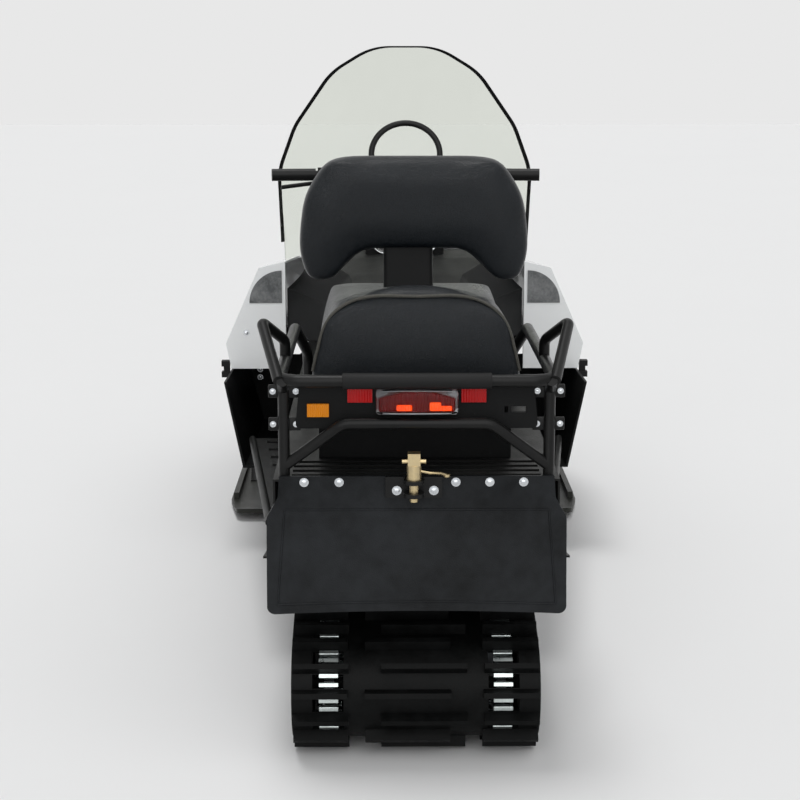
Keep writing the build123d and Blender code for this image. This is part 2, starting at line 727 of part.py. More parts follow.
def board_edge(x):
    """Half width of the running boards at one place along the machine."""
    share = (x - BOARD_REAR_X) / (BOARD_FRONT_X - BOARD_REAR_X)
    return BOARD_REAR_HALF + share * (BOARD_FRONT_HALF - BOARD_REAR_HALF)


def running_board():
    """The left board: a slotted tread plate inside a tube along its outer edge."""
    inner = TUNNEL_HALF + SEAT_GAP
    low = BOARD_TOP - SHEET
    plan = outline(
        (BOARD_REAR_X, inner),
        (BOARD_FRONT_X, inner),
        (BOARD_FRONT_X, board_edge(BOARD_FRONT_X)),
        (BOARD_REAR_X, board_edge(BOARD_REAR_X)),
    )
    plate = plan_prism(plan, low, BOARD_TOP)
    x = BOARD_FRONT_X - BOARD_SLOT_PITCH / 2
    slots = []
    while board_edge(x) - inner > 3 * BOARD_SLOT:
        width = board_edge(x) - inner - 2 * BOARD_SLOT
        cut = Pos(x, inner + BOARD_SLOT / 2 + width / 2, BOARD_TOP) * Box(BOARD_SLOT, width, OVERRUN)
        slots.append(cut)
        x -= BOARD_SLOT_PITCH
    ends = (BOARD_REAR_X, BOARD_FRONT_X)
    tube = rod(BOARD_TUBE, *[(x, board_edge(x), BOARD_TOP - SHEET / 2) for x in ends])
    return plate - slots + tube


# Belly pan
def tub(stations, inset):
    """A body lofted through trapezoid stations, each drawn in by the inset."""
    faces = []
    for x, half_top, half_low, low, top in stations:
        wide, narrow = half_top - inset, half_low - inset
        face = Plane.YZ.offset(x) * Polygon(
            (-narrow, low + inset), (narrow, low + inset), (wide, top), (-wide, top), align=None
        )
        faces.append(face)
    return loft(faces, ruled=True)


def belly_pan():
    """The black lower body: two open footwells at the rear and a closed narrow nose."""
    rear = tub(PAN_STATIONS, 0) - tub(PAN_STATIONS, PLASTIC)
    bulkhead = Pos(PAN_WAIST_X - PLASTIC / 2, 0, PAN_TOP) * Box(PLASTIC, 3 * PAN_HALF_TOP, 2 * PAN_TOP)
    x, _, nose_half, nose_low, _ = NOSE_STATIONS[0]
    door = Pos(x, 0, nose_low + PLASTIC + PAN_TOP) * Box(
        3 * PLASTIC, 2 * (nose_half - PLASTIC), 2 * PAN_TOP
    )
    rear += (bulkhead & tub(PAN_STATIONS, 0)) - door
    nose = tub(NOSE_STATIONS, 0)
    half = TUNNEL_HALF + SEAT_GAP
    run = TUNNEL_FRONT_X + SEAT_GAP - PAN_REAR_X
    slot = Pos(PAN_REAR_X, 0, PAN_TOP) * Box(2 * run, 2 * half, 2 * PAN_TOP)
    length = PAN_WAIST_X - PAN_REAR_X
    sides = Pos(PAN_REAR_X + length / 2, 0, PAN_TOP) * Box(length, 2 * (half + PLASTIC), 2 * PAN_TOP)
    sides -= Pos(PAN_REAR_X + length / 2, 0, PAN_TOP) * Box(2 * length, 2 * half, 3 * PAN_TOP)
    rear += sides & tub(PAN_STATIONS, 0)
    pan = rear + nose - tub(NOSE_STATIONS[:3], PLASTIC) - slot
    for side in (-1, 1):
        start = (ARM_EYE_X + ROD_PORT_SHIFT, side * TIE_ROD_INNER, ARM_EYE_RISE)
        end = (ARM_EYE_X + ROD_PORT_SHIFT, side * SKI_STANCE, ARM_EYE_RISE)
        pan -= rod(ROD_PORT, start, end)
    return pan


# Steering struts and skis, all on the left, along the leaning steering axis
def axis_x(z):
    """Where the steering axis is, along X, at one height."""
    return SPINDLE_X - (z - SPINDLE_RISE) * tan(radians(CASTER))


def axis_point(z, y=SKI_STANCE):
    """A place on the steering axis."""
    return (axis_x(z), y, z)


def eye_point(z):
    """A place on the tie rod's own pivot, which leans like the steering axis."""
    return (ARM_EYE_X + (ARM_EYE_RISE - z) * tan(radians(CASTER)), ARM_EYE_Y, z)


def strut():
    """The fixed upper tube of one front strut, with its clamp to the cross beam."""
    tube = rod(STRUT_RADIUS, axis_point(STRUT_LOW), axis_point(STRUT_TOP))
    bore = rod(LEG_RADIUS + LEG_CLEARANCE, axis_point(STRUT_LOW - OVERRUN), axis_point(STRUT_TOP - PLASTIC))
    return tube - bore


def front_frame():
    """The beam between the struts and its two arms back to the tunnel."""
    x = axis_x(BEAM_RISE)
    beam = Pos(x, 0, BEAM_RISE) * Box(BEAM_DEPTH, 2 * (SKI_STANCE - STRUT_RADIUS / 2), BEAM_DEPTH)
    for side in (-1, 1):
        low = axis_point(STRUT_LOW, side * SKI_STANCE)
        high = axis_point(STRUT_TOP + OVERRUN, side * SKI_STANCE)
        beam -= rod(STRUT_RADIUS + SEAT_GAP, low, high)
        start = TUNNEL_FRONT_X + SEAT_GAP
        arm = Pos((start + x) / 2, side * FRAME_ARM_Y, BEAM_RISE) * Box(x - start, FRAME_ARM, FRAME_ARM)
        beam += arm
    return beam


def ski_leg():
    """The sliding lower tube of the strut, its fork over the ski and the steering arm."""
    leg = rod(LEG_RADIUS, axis_point(SPINDLE_RISE + LEG_RADIUS), axis_point(STUD_TOP))
    x = axis_x(SPINDLE_RISE)
    fork = Pos(x, SKI_STANCE, SPINDLE_RISE) * Box(2 * LEG_RADIUS, 3 * LEG_RADIUS, FORK_HEIGHT)
    leg += fork
    leg -= across(AXLE_RADIUS + SEAT_GAP, 6 * LEG_RADIUS, x, SKI_STANCE, SPINDLE_RISE)
    leg += rod(ARM_PLATE, axis_point(ARM_RISE), eye_point(ARM_RISE))
    stud_top = ARM_EYE_RISE - (BALL_RADIUS + SEAT_GAP) * cos(radians(CASTER))
    leg += rod(ARM_PLATE + SHEET / 2, eye_point(ARM_RISE - ARM_PLATE), eye_point(stud_top))
    return leg


def gaiter():
    """The ribbed rubber boot round the leg, between the steering arm and the strut."""
    low, high = GAITER_LOW, STRUT_LOW - MOVING_GAP / 2
    fold = (high - low) / (2 * GAITER_FOLDS)
    inner = LEG_RADIUS + SEAT_GAP
    points = [(inner, 0)]
    for i in range(GAITER_FOLDS):
        points.append((inner + SHEET, 2 * i * fold))
        points.append((GAITER_RADIUS, (2 * i + 1) * fold))
    points += [(inner + SHEET, high - low), (inner, high - low)]
    face = Plane.XZ * outline(*points)
    boot = revolve(face, Axis.Z)
    return Pos(*axis_point(low)) * Rot(0, -CASTER, 0) * boot


def tie_rod():
    """The left tie rod, from its round joint housing on the arm to inside the belly pan."""
    rise = BALL_RADIUS * cos(radians(CASTER))
    housing = rod(BALL_RADIUS, eye_point(ARM_EYE_RISE - rise), eye_point(ARM_EYE_RISE + rise))
    return rod(TIE_ROD, eye_point(ARM_EYE_RISE), (ARM_EYE_X, TIE_ROD_INNER, ARM_EYE_RISE)) + housing


def ski_side(sole):
    """The side view of the ski above a sole line, flat and then turned up at the tip."""
    flat_end = SPINDLE_X + SKI_FLAT_SHARE * (SKI_TIP_X - SPINDLE_X)
    low = [
        (SKI_TAIL_X, sole + SKI_TAIL_LIFT), (SKI_TAIL_X + SKI_TAIL_RUN, sole), (flat_end, sole),
    ]
    top = [(x, z + SKI_SKIN) for x, z in low]
    mid = (flat_end + SKI_CURVE_SHARE * (SKI_TIP_X - flat_end), sole + SKI_CURVE_RISE_SHARE * SKI_TIP_RISE)
    tip = (SKI_TIP_X - SKI_SKIN, SKI_TIP_RISE)
    edges = (
        Polyline(*low),
        ThreePointArc(low[-1], mid, tip),
        Line(tip, (tip[0] - SKI_SKIN, tip[1] + SKI_SKIN / 2)),
        ThreePointArc(
            (tip[0] - SKI_SKIN, tip[1] + SKI_SKIN / 2),
            (mid[0] - SKI_SKIN / 2, mid[1] + SKI_SKIN),
            top[-1],
        ),
        Polyline(*reversed(top)),
        Line(top[0], low[0]),
    )
    return make_face(Curve() + list(edges))


def ski():
    """The left ski: a flat plastic blade with a turned-up tip, rims and a keel."""
    side = ski_side(SKI_SOLE)
    half = SKI_WIDTH / 2
    blade = side_prism(side, SKI_STANCE - half, SKI_STANCE + half)
    narrow = SKI_NARROW_SHARE * half
    plan = rounded(
        narrow / 2,
        (SKI_TAIL_X, SKI_STANCE - narrow), (SKI_TAIL_X, SKI_STANCE + narrow),
        (SKI_TAIL_X + SKI_WIDTH, SKI_STANCE + half), (SKI_TIP_X - 2 * SKI_WIDTH, SKI_STANCE + half),
        (SKI_TIP_X, SKI_STANCE + narrow), (SKI_TIP_X, SKI_STANCE - narrow),
        (SKI_TIP_X - 2 * SKI_WIDTH, SKI_STANCE - half), (SKI_TAIL_X + SKI_WIDTH, SKI_STANCE - half),
    )
    blade = blade & plan_prism(plan, -OVERRUN, SKI_TIP_RISE + OVERRUN)
    flat = (SKI_TAIL_X + SKI_WIDTH, SPINDLE_X + SKI_FLAT_SHARE * (SKI_TIP_X - SPINDLE_X))
    middle = (flat[0] + flat[1]) / 2
    length = flat[1] - flat[0]
    rim_z = SKI_SOLE + SKI_SKIN + SKI_RIM_HEIGHT / 2 - SHEET
    for offset in (-half + SKI_RIM, half - SKI_RIM):
        blade += Pos(middle, SKI_STANCE + offset, rim_z) * Box(length, SKI_RIM, SKI_RIM_HEIGHT)
    keel_low = 2 * RUNNER_RADIUS + SEAT_GAP
    keel_z = (keel_low + SKI_SOLE + SKI_SKIN / 2) / 2
    keel = Pos(middle, SKI_STANCE, keel_z) * Box(length, KEEL_WIDTH, SKI_SOLE + SKI_SKIN / 2 - keel_low)
    tip = (SKI_TIP_X - 3 * SKI_SKIN, SKI_STANCE, SKI_TIP_RISE - SKI_SKIN)
    root = (flat[1] + SKI_WIDTH, SKI_STANCE, SKI_SOLE + SKI_RIM_HEIGHT)
    handle = bent_tube(
        SKI_HANDLE_TUBE, OVERRUN,
        tip, (tip[0] - SKI_RIM, SKI_STANCE, SKI_HANDLE_RISE),
        (root[0], SKI_STANCE, SKI_HANDLE_RISE - SKI_WIDTH / 2), root,
    )
    return blade + keel + handle


def ski_runner():
    """The steel wear bar under the keel."""
    length = SKI_FLAT_SHARE * (SKI_TIP_X - SPINDLE_X) + SPINDLE_X - SKI_TAIL_X - SKI_WIDTH
    middle = SKI_TAIL_X + SKI_WIDTH + length / 2
    bar = Box(length - MOVING_GAP, 2 * RUNNER_RADIUS, 2 * RUNNER_RADIUS)
    return Pos(middle, SKI_STANCE, RUNNER_RADIUS) * bar


def ski_saddle():
    """The steel bracket on the ski that carries the pivot of the leg."""
    base = SKI_SOLE + SKI_SKIN + SEAT_GAP
    wall = SHEET
    inner = 1.5 * LEG_RADIUS + SEAT_GAP
    plate = Pos(SPINDLE_X, SKI_STANCE, base + wall / 2) * Box(SADDLE_LENGTH, 2 * (inner + wall), wall)
    half = SADDLE_LENGTH / 2 - SADDLE_INSET
    cheek = outline(
        (SPINDLE_X - half, base), (SPINDLE_X + half, base),
        (SPINDLE_X + SADDLE_HEAD, SPINDLE_RISE + SADDLE_HEAD),
        (SPINDLE_X - SADDLE_HEAD, SPINDLE_RISE + SADDLE_HEAD),
    )
    for side in (-1, 1):
        edges = sorted((side * inner, side * (inner + wall)))
        plate += side_prism(cheek, SKI_STANCE + edges[0], SKI_STANCE + edges[1])
    plate -= across(AXLE_RADIUS + SEAT_GAP, 8 * LEG_RADIUS, SPINDLE_X, SKI_STANCE, SPINDLE_RISE)
    return plate


def ski_pivot():
    """The bolt through saddle and leg."""
    length = 2 * (1.5 * LEG_RADIUS + SHEET) + 4 * SHEET
    bolt = across(AXLE_RADIUS, length, SPINDLE_X, SKI_STANCE, SPINDLE_RISE)
    return bolt


# Hood and windshield
def hood_face(station, inset, drop):
    """One cross section of the hood, drawn in by the inset and let down by the drop."""
    x, foot, foot_z, side, side_z, shoulder, shoulder_z, crown = station
    foot, side, shoulder = foot - inset, side - inset, shoulder - inset
    shoulder_z, crown = shoulder_z - inset / 2, crown - inset
    left = [(foot, foot_z - drop), (foot, foot_z), (side, side_z), (shoulder, shoulder_z)]
    right = [(-y, z) for y, z in reversed(left)]
    edges = (
        Polyline(*left),
        ThreePointArc(left[-1], (0, crown), right[0]),
        Polyline(*right),
        Line(right[-1], left[0]),
    )
    return Plane.YZ.offset(x) * make_face(Curve() + list(edges))


def hood_body(inset, first_shift):
    """The hood's outer form, or its inside when drawn in, starting a little way forward."""
    stations = list(HOOD_STATIONS)
    stations[0] = (stations[0][0] + first_shift,) + stations[0][1:]
    stations[-1] = (stations[-1][0] - first_shift,) + stations[-1][1:]
    drop = OVERRUN if inset > 0 else SHEET
    return loft([hood_face(station, inset, drop) for station in stations])


def hood():
    """The white hood shell, open below, with a notch at the rear round the console."""
    shell = hood_body(0, 0) - hood_body(HOOD_SKIN, HOOD_SKIN)
    notch = outline(
        (HOOD_REAR_X - OVERRUN, HOOD_NOTCH_REAR_HALF), (HOOD_REAR_X, HOOD_NOTCH_REAR_HALF),
        (HOOD_NOTCH_X, HOOD_NOTCH_FRONT_HALF), (HOOD_NOTCH_X, -HOOD_NOTCH_FRONT_HALF),
        (HOOD_REAR_X, -HOOD_NOTCH_REAR_HALF), (HOOD_REAR_X - OVERRUN, -HOOD_NOTCH_REAR_HALF),
    )
    shell -= plan_prism(notch, 0, SCREEN_HEAD)
    for row in range(LOUVRE_COUNT):
        cut = Box(LOUVRE_LENGTH, 3 * PAN_HALF_TOP, LOUVRE_HEIGHT)
        shell -= Pos(LOUVRE_X - row * LOUVRE_PITCH / 2, 0, LOUVRE_RISE + row * LOUVRE_PITCH) * cut
    return shell + hood_ears()


def headlamps():
    """The pair of clear lamps that follow the hood's form at the front."""
    plan = rounded(
        LOUVRE_PITCH,
        (HEADLAMP_REAR_X, HEADLAMP_INNER), (HEADLAMP_FRONT_X, HEADLAMP_INNER),
        (HEADLAMP_FRONT_X, HEADLAMP_OUTER - OVERRUN), (HEADLAMP_REAR_X + OVERRUN, HEADLAMP_OUTER),
        (HEADLAMP_REAR_X, HEADLAMP_OUTER),
    )
    skin = hood_body(-HEADLAMP_PROUD, 0) - hood_body(-SEAT_GAP, 0)
    return both(skin & plan_prism(plan, EAR_HIGH, CONSOLE_TOP))


def hood_panels():
    """The two dark quarter-round panels on the hood's rear wall."""
    start = (HOOD_PANEL_INNER, HOOD_PANEL_LOW)
    far = (HOOD_PANEL_INNER + HOOD_PANEL_RADIUS, HOOD_PANEL_LOW)
    top = (HOOD_PANEL_INNER, HOOD_PANEL_LOW + HOOD_PANEL_RADIUS)
    lean = HOOD_PANEL_RADIUS * sin(radians(45))
    face = make_face(Curve() + [
        Line(start, far),
        ThreePointArc(far, (start[0] + lean, start[1] + lean), top),
        Line(top, start),
    ])
    x = HOOD_REAR_X - SEAT_GAP
    return both(rear_prism(face, x - HOOD_PANEL_THICKNESS, x))


def front_bumper():
    """The bent tube that guards the pan's nose."""
    half = BUMPER_HALF
    tube = bent_tube(
        BUMPER_TUBE, BUMPER_BEND,
        (BUMPER_ROOT_X, half, BUMPER_ROOT_RISE), (BUMPER_FRONT_X, half, BUMPER_RISE),
        (BUMPER_FRONT_X, -half, BUMPER_RISE), (BUMPER_ROOT_X, -half, BUMPER_ROOT_RISE),
    )
    return tube - tub(NOSE_STATIONS, -SEAT_GAP)


def screen_sheet(inset):
    """The solid in front of the windshield's surface, cut back by the inset."""
    faces = []
    levels = (
        (SCREEN_FOOT - OVERRUN, SCREEN_FOOT_X, SCREEN_FOOT_SWEEP),
        (SCREEN_HEAD, SCREEN_HEAD_X, SCREEN_HEAD_SWEEP),
    )
    for z, x, sweep_back in levels:
        nose = x - inset
        ends = nose - sweep_back
        back = ends - 4 * OVERRUN
        edges = (
            ThreePointArc((ends, SCREEN_CHORD), (nose, 0), (ends, -SCREEN_CHORD)),
            Polyline(
                (ends, -SCREEN_CHORD), (back, -SCREEN_CHORD), (back, SCREEN_CHORD), (ends, SCREEN_CHORD)
            ),
        )
        faces.append(Plane.XY.offset(z) * make_face(Curve() + list(edges)))
    return loft(faces, ruled=True)


def screen_outline(inset):
    """The windshield seen from behind, drawn in by the inset."""
    left = [(y - inset, z - inset / 2) for y, z in SCREEN_OUTLINE]
    foot = (left[-1][0], SCREEN_FOOT - OVERRUN / 2)
    points = [foot] + left[::-1] + [(-y, z) for y, z in left] + [(-foot[0], foot[1])]
    bends = (0,) + 2 * len(left) * (SCREEN_CORNER,) + (0,)
    return rounded(bends, *points)


def screen_shell(outer, inner):
    """The curved sheet between two depths."""
    return screen_sheet(outer) - screen_sheet(inner)


def windshield():
    """The clear sheet inside its edge trim, standing on the hood."""
    clear = rear_prism(screen_outline(TRIM_WIDTH + SEAT_GAP), 0, SCREEN_FOOT_X + OVERRUN)
    return (screen_shell(0, SCREEN_THICKNESS) & clear) - hood_body(-SEAT_GAP, 0)


def windshield_trim():
    """The thin dark edge round the top and sides of the windshield."""
    ring = screen_outline(0) - screen_outline(TRIM_WIDTH)
    rise = SCREEN_OUTLINE[-1][1] - SCREEN_FOOT
    foot = Pos(0, SCREEN_FOOT) * Rectangle(4 * SCREEN_CHORD, 2 * rise - OVERRUN)
    band = rear_prism(ring - foot, 0, SCREEN_FOOT_X + OVERRUN)
    return screen_shell(-SHEET / 2, SCREEN_THICKNESS + SHEET / 2) & band


# Console, seat and backrest
def console():
    """The dark tank and dashboard cover between the seat and the hood's notch."""
    low = TUNNEL_TOP + SEAT_GAP
    faces = []
    for x, half_low, half_top, top in CONSOLE_STATIONS:
        mid = low + CONSOLE_WAIST_SHARE * (top - low)
        face = Plane.YZ.offset(x) * Polygon(
            (-half_low, low), (half_low, low), (half_low, mid), (half_top, top),
            (-half_top, top), (-half_low, mid), align=None,
        )
        faces.append(face)
    body = loft(faces, ruled=True) + gauge_pod()
    body += upright(CAP_RADIUS, low, CAP_TOP, CAP_X, 0)
    for y in (-GAUGE_Y, GAUGE_Y):
        body -= gauge_plane(y) * Cylinder(GAUGE_RADIUS, 2 * GAUGE_DEPTH)
    foot, head = column_point(-COLUMN_DEPTH), column_point(COLUMN_DEPTH)
    return body - rod(COLUMN_RADIUS + MOVING_GAP, foot, head)


def gauge_pod():
    """The hooded housing of the two gauges, at the front of the console."""
    side = outline(
        (POD_REAR_X, CONSOLE_TOP - OVERRUN), (POD_FRONT_X, CONSOLE_TOP - OVERRUN), (POD_FRONT_X, POD_TOP),
        (POD_FRONT_X - POD_ROOF, POD_TOP), (POD_REAR_X, POD_FACE_LOW),
    )
    return side_prism(side, -POD_HALF, POD_HALF)


def gauge_plane(y):
    """The plane of one gauge, in the middle of the housing's leaning rear face."""
    low, high = (POD_REAR_X, POD_FACE_LOW), (POD_FRONT_X - POD_ROOF, POD_TOP)
    middle = Vector((low[0] + high[0]) / 2, y, (low[1] + high[1]) / 2)
    normal = Vector(-(high[1] - low[1]), 0, high[0] - low[0])
    return Plane(origin=middle, z_dir=normal)


def column_bearing():
    """The bush in the console that the steering column turns in."""
    low, high = column_point(BEARING_LOW), column_point(BEARING_TOP)
    bush = rod(COLUMN_RADIUS + MOVING_GAP - SEAT_GAP, low, high)
    return bush - rod(COLUMN_RADIUS + SEAT_GAP, column_point(-COLUMN_DEPTH), column_point(COLUMN_DEPTH))


def seat_step(lift):
    """The sloping step in the seat's floor, front point first, raised by the lift."""
    return (STEP_FRONT_X, SEAT_DRIVER - CUSHION + lift), (STEP_REAR_X, SEAT_FLOOR + lift)


def seat_base():
    """The black box under the seat, which is also the luggage trunk."""
    low = TUNNEL_TOP + SEAT_GAP
    step_front, step_rear = seat_step(0)
    side = outline(
        (SEAT_FRONT_X, low), (SEAT_FRONT_X, step_front[1]), step_front, step_rear,
        (SEAT_BASE_REAR_X, SEAT_FLOOR), (SEAT_BASE_REAR_X, low),
    )
    return side_prism(side, -SEAT_BASE_HALF, SEAT_BASE_HALF)


def seat():
    """The stepped two-person cushion with its high domed rear end."""
    step_front, step_rear = seat_step(SEAT_GAP)
    profile = [(SEAT_FRONT_X, step_front[1])] + list(SEAT_PROFILE)
    profile += [(SEAT_REAR_X, step_rear[1]), step_rear, step_front]
    body = side_prism(rounded((0,) + SEAT_PROFILE_BENDS + (0, 0, 0), *profile), -SEAT_HALF, SEAT_HALF)
    crown_left, crown_right = (SEAT_CROWN_HALF, SEAT_CROWN_EDGE), (-SEAT_CROWN_HALF, SEAT_CROWN_EDGE)
    dome = make_face(Curve() + [
        Polyline((-SEAT_HALF, 0), (SEAT_HALF, 0), (SEAT_HALF, SEAT_SIDE_TOP), crown_left),
        ThreePointArc(crown_left, (0, SEAT_CROWN), crown_right),
        Polyline(crown_right, (-SEAT_HALF, SEAT_SIDE_TOP), (-SEAT_HALF, 0)),
    ])
    slot = Pos(post_x() + POST_THICKNESS / 2, POST_Y, SEAT_FLOOR) * Box(
        POST_THICKNESS + 2 * SHEET, POST_WIDTH + 2 * SHEET, 2 * SEAT_FLOOR
    )
    return (body & rear_prism(dome, TUNNEL_REAR_X, 0)) - slot


def backrest():
    """The wide padded back with a hollowed lower edge, standing on its post."""
    left = list(BACKREST_OUTLINE)
    right = [(-y, z) for y, z in reversed(left)]
    bends = BACKREST_BENDS + tuple(reversed(BACKREST_BENDS))
    face = rounded(bends, *left, *right)
    half = BACKREST_THICKNESS / 2
    return rear_prism(face, BACKREST_X - half, BACKREST_X + half)


def post_x():
    """The rear face of the backrest's post."""
    return BACKREST_X - BACKREST_THICKNESS / 2 - SEAT_GAP - POST_THICKNESS


def backrest_post():
    """The flat steel post that holds the backrest, standing on the box under the seat."""
    low = SEAT_FLOOR + SEAT_GAP
    middle = Pos(post_x() + POST_THICKNESS / 2, POST_Y, (low + POST_TOP) / 2)
    return middle * Box(POST_THICKNESS, POST_WIDTH, POST_TOP - low)


# Rack, lamps, flap and hitch
def rack():
    """The welded tube rack round the seat's rear with its two grab loops."""
    foot_y, foot_z, knee_z = RACK_HALF - RACK_FOOT_INSET, TUNNEL_TOP + SEAT_GAP, TUNNEL_TOP + RACK_KNEE
    left = [
        (RACK_FRONT_X, foot_y, foot_z), (RACK_FRONT_X, foot_y, knee_z),
        (RACK_FRONT_X - RACK_KNEE_RUN, RACK_HALF, RACK_RISE), (RACK_REAR_X, RACK_HALF, RACK_RISE),
    ]
    right = [(x, -y, z) for x, y, z in reversed(left)]
    frame = bent_tube(RACK_TUBE, RACK_BEND, *left, *right)
    frame += across(RACK_TUBE + SHEET / 2, RACK_SLEEVE, RACK_REAR_X, 0, RACK_RISE)
    post_rear_x = RACK_REAR_X + RACK_POST_SHIFT
    brace_x = RACK_REAR_X + SHEET
    for side in (-1, 1):
        y = side * (RACK_HALF - RACK_POST_INSET)
        frame += upright(RACK_RAIL, foot_z, RACK_RISE, post_rear_x, y)
        frame += rod(RACK_RAIL, (post_rear_x, y, RACK_RISE - 2 * RACK_RAIL), (RACK_REAR_X, y, RACK_RISE))
        frame += bent_tube(
            RACK_RAIL, LOOP_BEND,
            (brace_x, side * RACK_HALF, RACK_RISE),
            (RACK_REAR_X + LOOP_RUN, side * LOOP_HALF, LOOP_RISE),
            (RACK_REAR_X + LOOP_END, side * RACK_HALF, RACK_RISE + LOOP_STEP),
            (RACK_REAR_X + LOOP_END, side * RACK_HALF, RACK_RISE),
        )
    low = (post_rear_x, RACK_HALF - RACK_POST_INSET, TUNNEL_TOP + BRACE_LOW)
    high = (brace_x, BRACE_HALF, BRACE_RISE)
    ends = [low, high, (high[0], -high[1], high[2]), (low[0], -low[1], low[2])]
    return frame + bent_tube(RACK_RAIL, OVERRUN, *ends)


def engine():
    """The engine as one plain block, bolted to the tunnel's front wall."""
    x = TUNNEL_FRONT_X + SEAT_GAP + ENGINE_LENGTH / 2
    return Pos(x, 0, ENGINE_TOP - ENGINE_HEIGHT / 2) * Box(ENGINE_LENGTH, ENGINE_WIDTH, ENGINE_HEIGHT)


def lamp_panel():
    """The black upright panel under the seat's rear that carries the lamps."""
    wide, narrow = LAMP_PANEL_HALF, LAMP_PANEL_HALF - LAMP_PANEL_TAPER
    face = rounded(
        LAMP_PANEL_CORNER,
        (-wide, LAMP_PANEL_LOW), (-narrow, LAMP_PANEL_TOP),
        (narrow, LAMP_PANEL_TOP), (wide, LAMP_PANEL_LOW),
    )
    face -= Pos(-AMBER_Y, AMBER_RISE) * Rectangle(AMBER_WIDTH, AMBER_HEIGHT / 2)
    panel = rear_prism(face, LAMP_PANEL_X, LAMP_PANEL_X + LAMP_PANEL_THICKNESS)
    depth = SEAT_BASE_REAR_X - SEAT_GAP - LAMP_PANEL_X
    for side in (-1, 1):
        web = Box(depth, PLASTIC, WEB_HEIGHT)
        panel += Pos(LAMP_PANEL_X + depth / 2, side * WEB_Y, LAMP_PANEL_LOW + WEB_HEIGHT / 2) * web
    return panel


def tail_lamp():
    """The tail and brake lamp's body, a bowed block on the panel."""
    edges = (
        Line((LAMP_PANEL_X - SEAT_GAP, LAMP_HALF), (LAMP_PANEL_X - SEAT_GAP, -LAMP_HALF)),
        Line((LAMP_PANEL_X - SEAT_GAP, -LAMP_HALF), (LAMP_PANEL_X - LAMP_DEPTH / 2, -LAMP_HALF)),
        ThreePointArc(
            (LAMP_PANEL_X - LAMP_DEPTH / 2, -LAMP_HALF),
            (LAMP_PANEL_X - LAMP_DEPTH, 0),
            (LAMP_PANEL_X - LAMP_DEPTH / 2, LAMP_HALF),
        ),
        Line((LAMP_PANEL_X - LAMP_DEPTH / 2, LAMP_HALF), (LAMP_PANEL_X - SEAT_GAP, LAMP_HALF)),
    )
    return plan_prism(make_face(Curve() + list(edges)), LAMP_LOW, LAMP_TOP)


def reflectors():
    """The two red reflectors beside the lamp."""
    x = LAMP_PANEL_X - SEAT_GAP - REFLECTOR_DEPTH / 2
    block = Pos(x, REFLECTOR_Y, REFLECTOR_RISE) * Box(REFLECTOR_DEPTH, REFLECTOR_WIDTH, REFLECTOR_HEIGHT)
    return both(block)


def amber_reflector():
    """The single amber reflector on the panel's left."""
    x = LAMP_PANEL_X - SEAT_GAP - REFLECTOR_DEPTH / 2
    return Pos(x, AMBER_Y, AMBER_RISE) * Box(REFLECTOR_DEPTH, AMBER_WIDTH, AMBER_HEIGHT)


def flap():
    """The heavy rubber snow flap, narrower where it is bolted on and bent below."""
    x = TUNNEL_REAR_X - SEAT_GAP
    side = outline(
        (x, FLAP_TOP), (x, FLAP_BEND), (x - FLAP_SWEEP, FLAP_BOTTOM),
        (x - FLAP_SWEEP - FLAP_THICKNESS, FLAP_BOTTOM), (x - FLAP_THICKNESS, FLAP_BEND),
        (x - FLAP_THICKNESS, FLAP_TOP),
    )
    sheet = side_prism(side, -FLAP_HALF, FLAP_HALF)
    face = rounded(
        FLAP_CORNER,
        (-FLAP_TOP_HALF, FLAP_TOP + OVERRUN), (FLAP_TOP_HALF, FLAP_TOP + OVERRUN),
        (FLAP_TOP_HALF + FLAP_FLARE, FLAP_BEND + FLAP_SHOULDER), (FLAP_HALF, FLAP_BEND - FLAP_SHOULDER),
        (FLAP_HALF, FLAP_BOTTOM), (-FLAP_HALF, FLAP_BOTTOM), (-FLAP_HALF, FLAP_BEND - FLAP_SHOULDER),
        (-FLAP_TOP_HALF - FLAP_FLARE, FLAP_BEND + FLAP_SHOULDER),
    )
    return sheet & rear_prism(face, x - FLAP_SWEEP - OVERRUN, x + OVERRUN)


def hitch():
    """The steel hitch plate over the flap's top, with a forked eye for its pin."""
    x = TUNNEL_REAR_X - 2 * SEAT_GAP - FLAP_THICKNESS
    plate = Box(HITCH_THICKNESS, HITCH_WIDTH, HITCH_HEIGHT)
    plate = Pos(x - HITCH_THICKNESS / 2, HITCH_Y, HITCH_RISE) * plate
    for z in (HITCH_EAR_LOW, HITCH_EAR_HIGH):
        ear = plan_prism(Pos(HITCH_PIN_X, HITCH_Y) * Circle(HITCH_EAR), z, z + HITCH_THICKNESS)
        ear += Pos(HITCH_PIN_X + HITCH_REACH / 2, HITCH_Y, z + HITCH_THICKNESS / 2) * Box(
            HITCH_REACH + HITCH_THICKNESS, 2 * (HITCH_EAR - SHEET / 2), HITCH_THICKNESS
        )
        plate += ear
    place = (HITCH_PIN_X, HITCH_Y)
    low = upright(PIN_TIP_RADIUS + SEAT_GAP, HITCH_EAR_LOW - OVERRUN, HITCH_EAR_HIGH, *place)
    high = upright(PIN_HEAD_RADIUS + SEAT_GAP, HITCH_EAR_HIGH, HITCH_EAR_HIGH + OVERRUN, *place)
    return plate - low - high


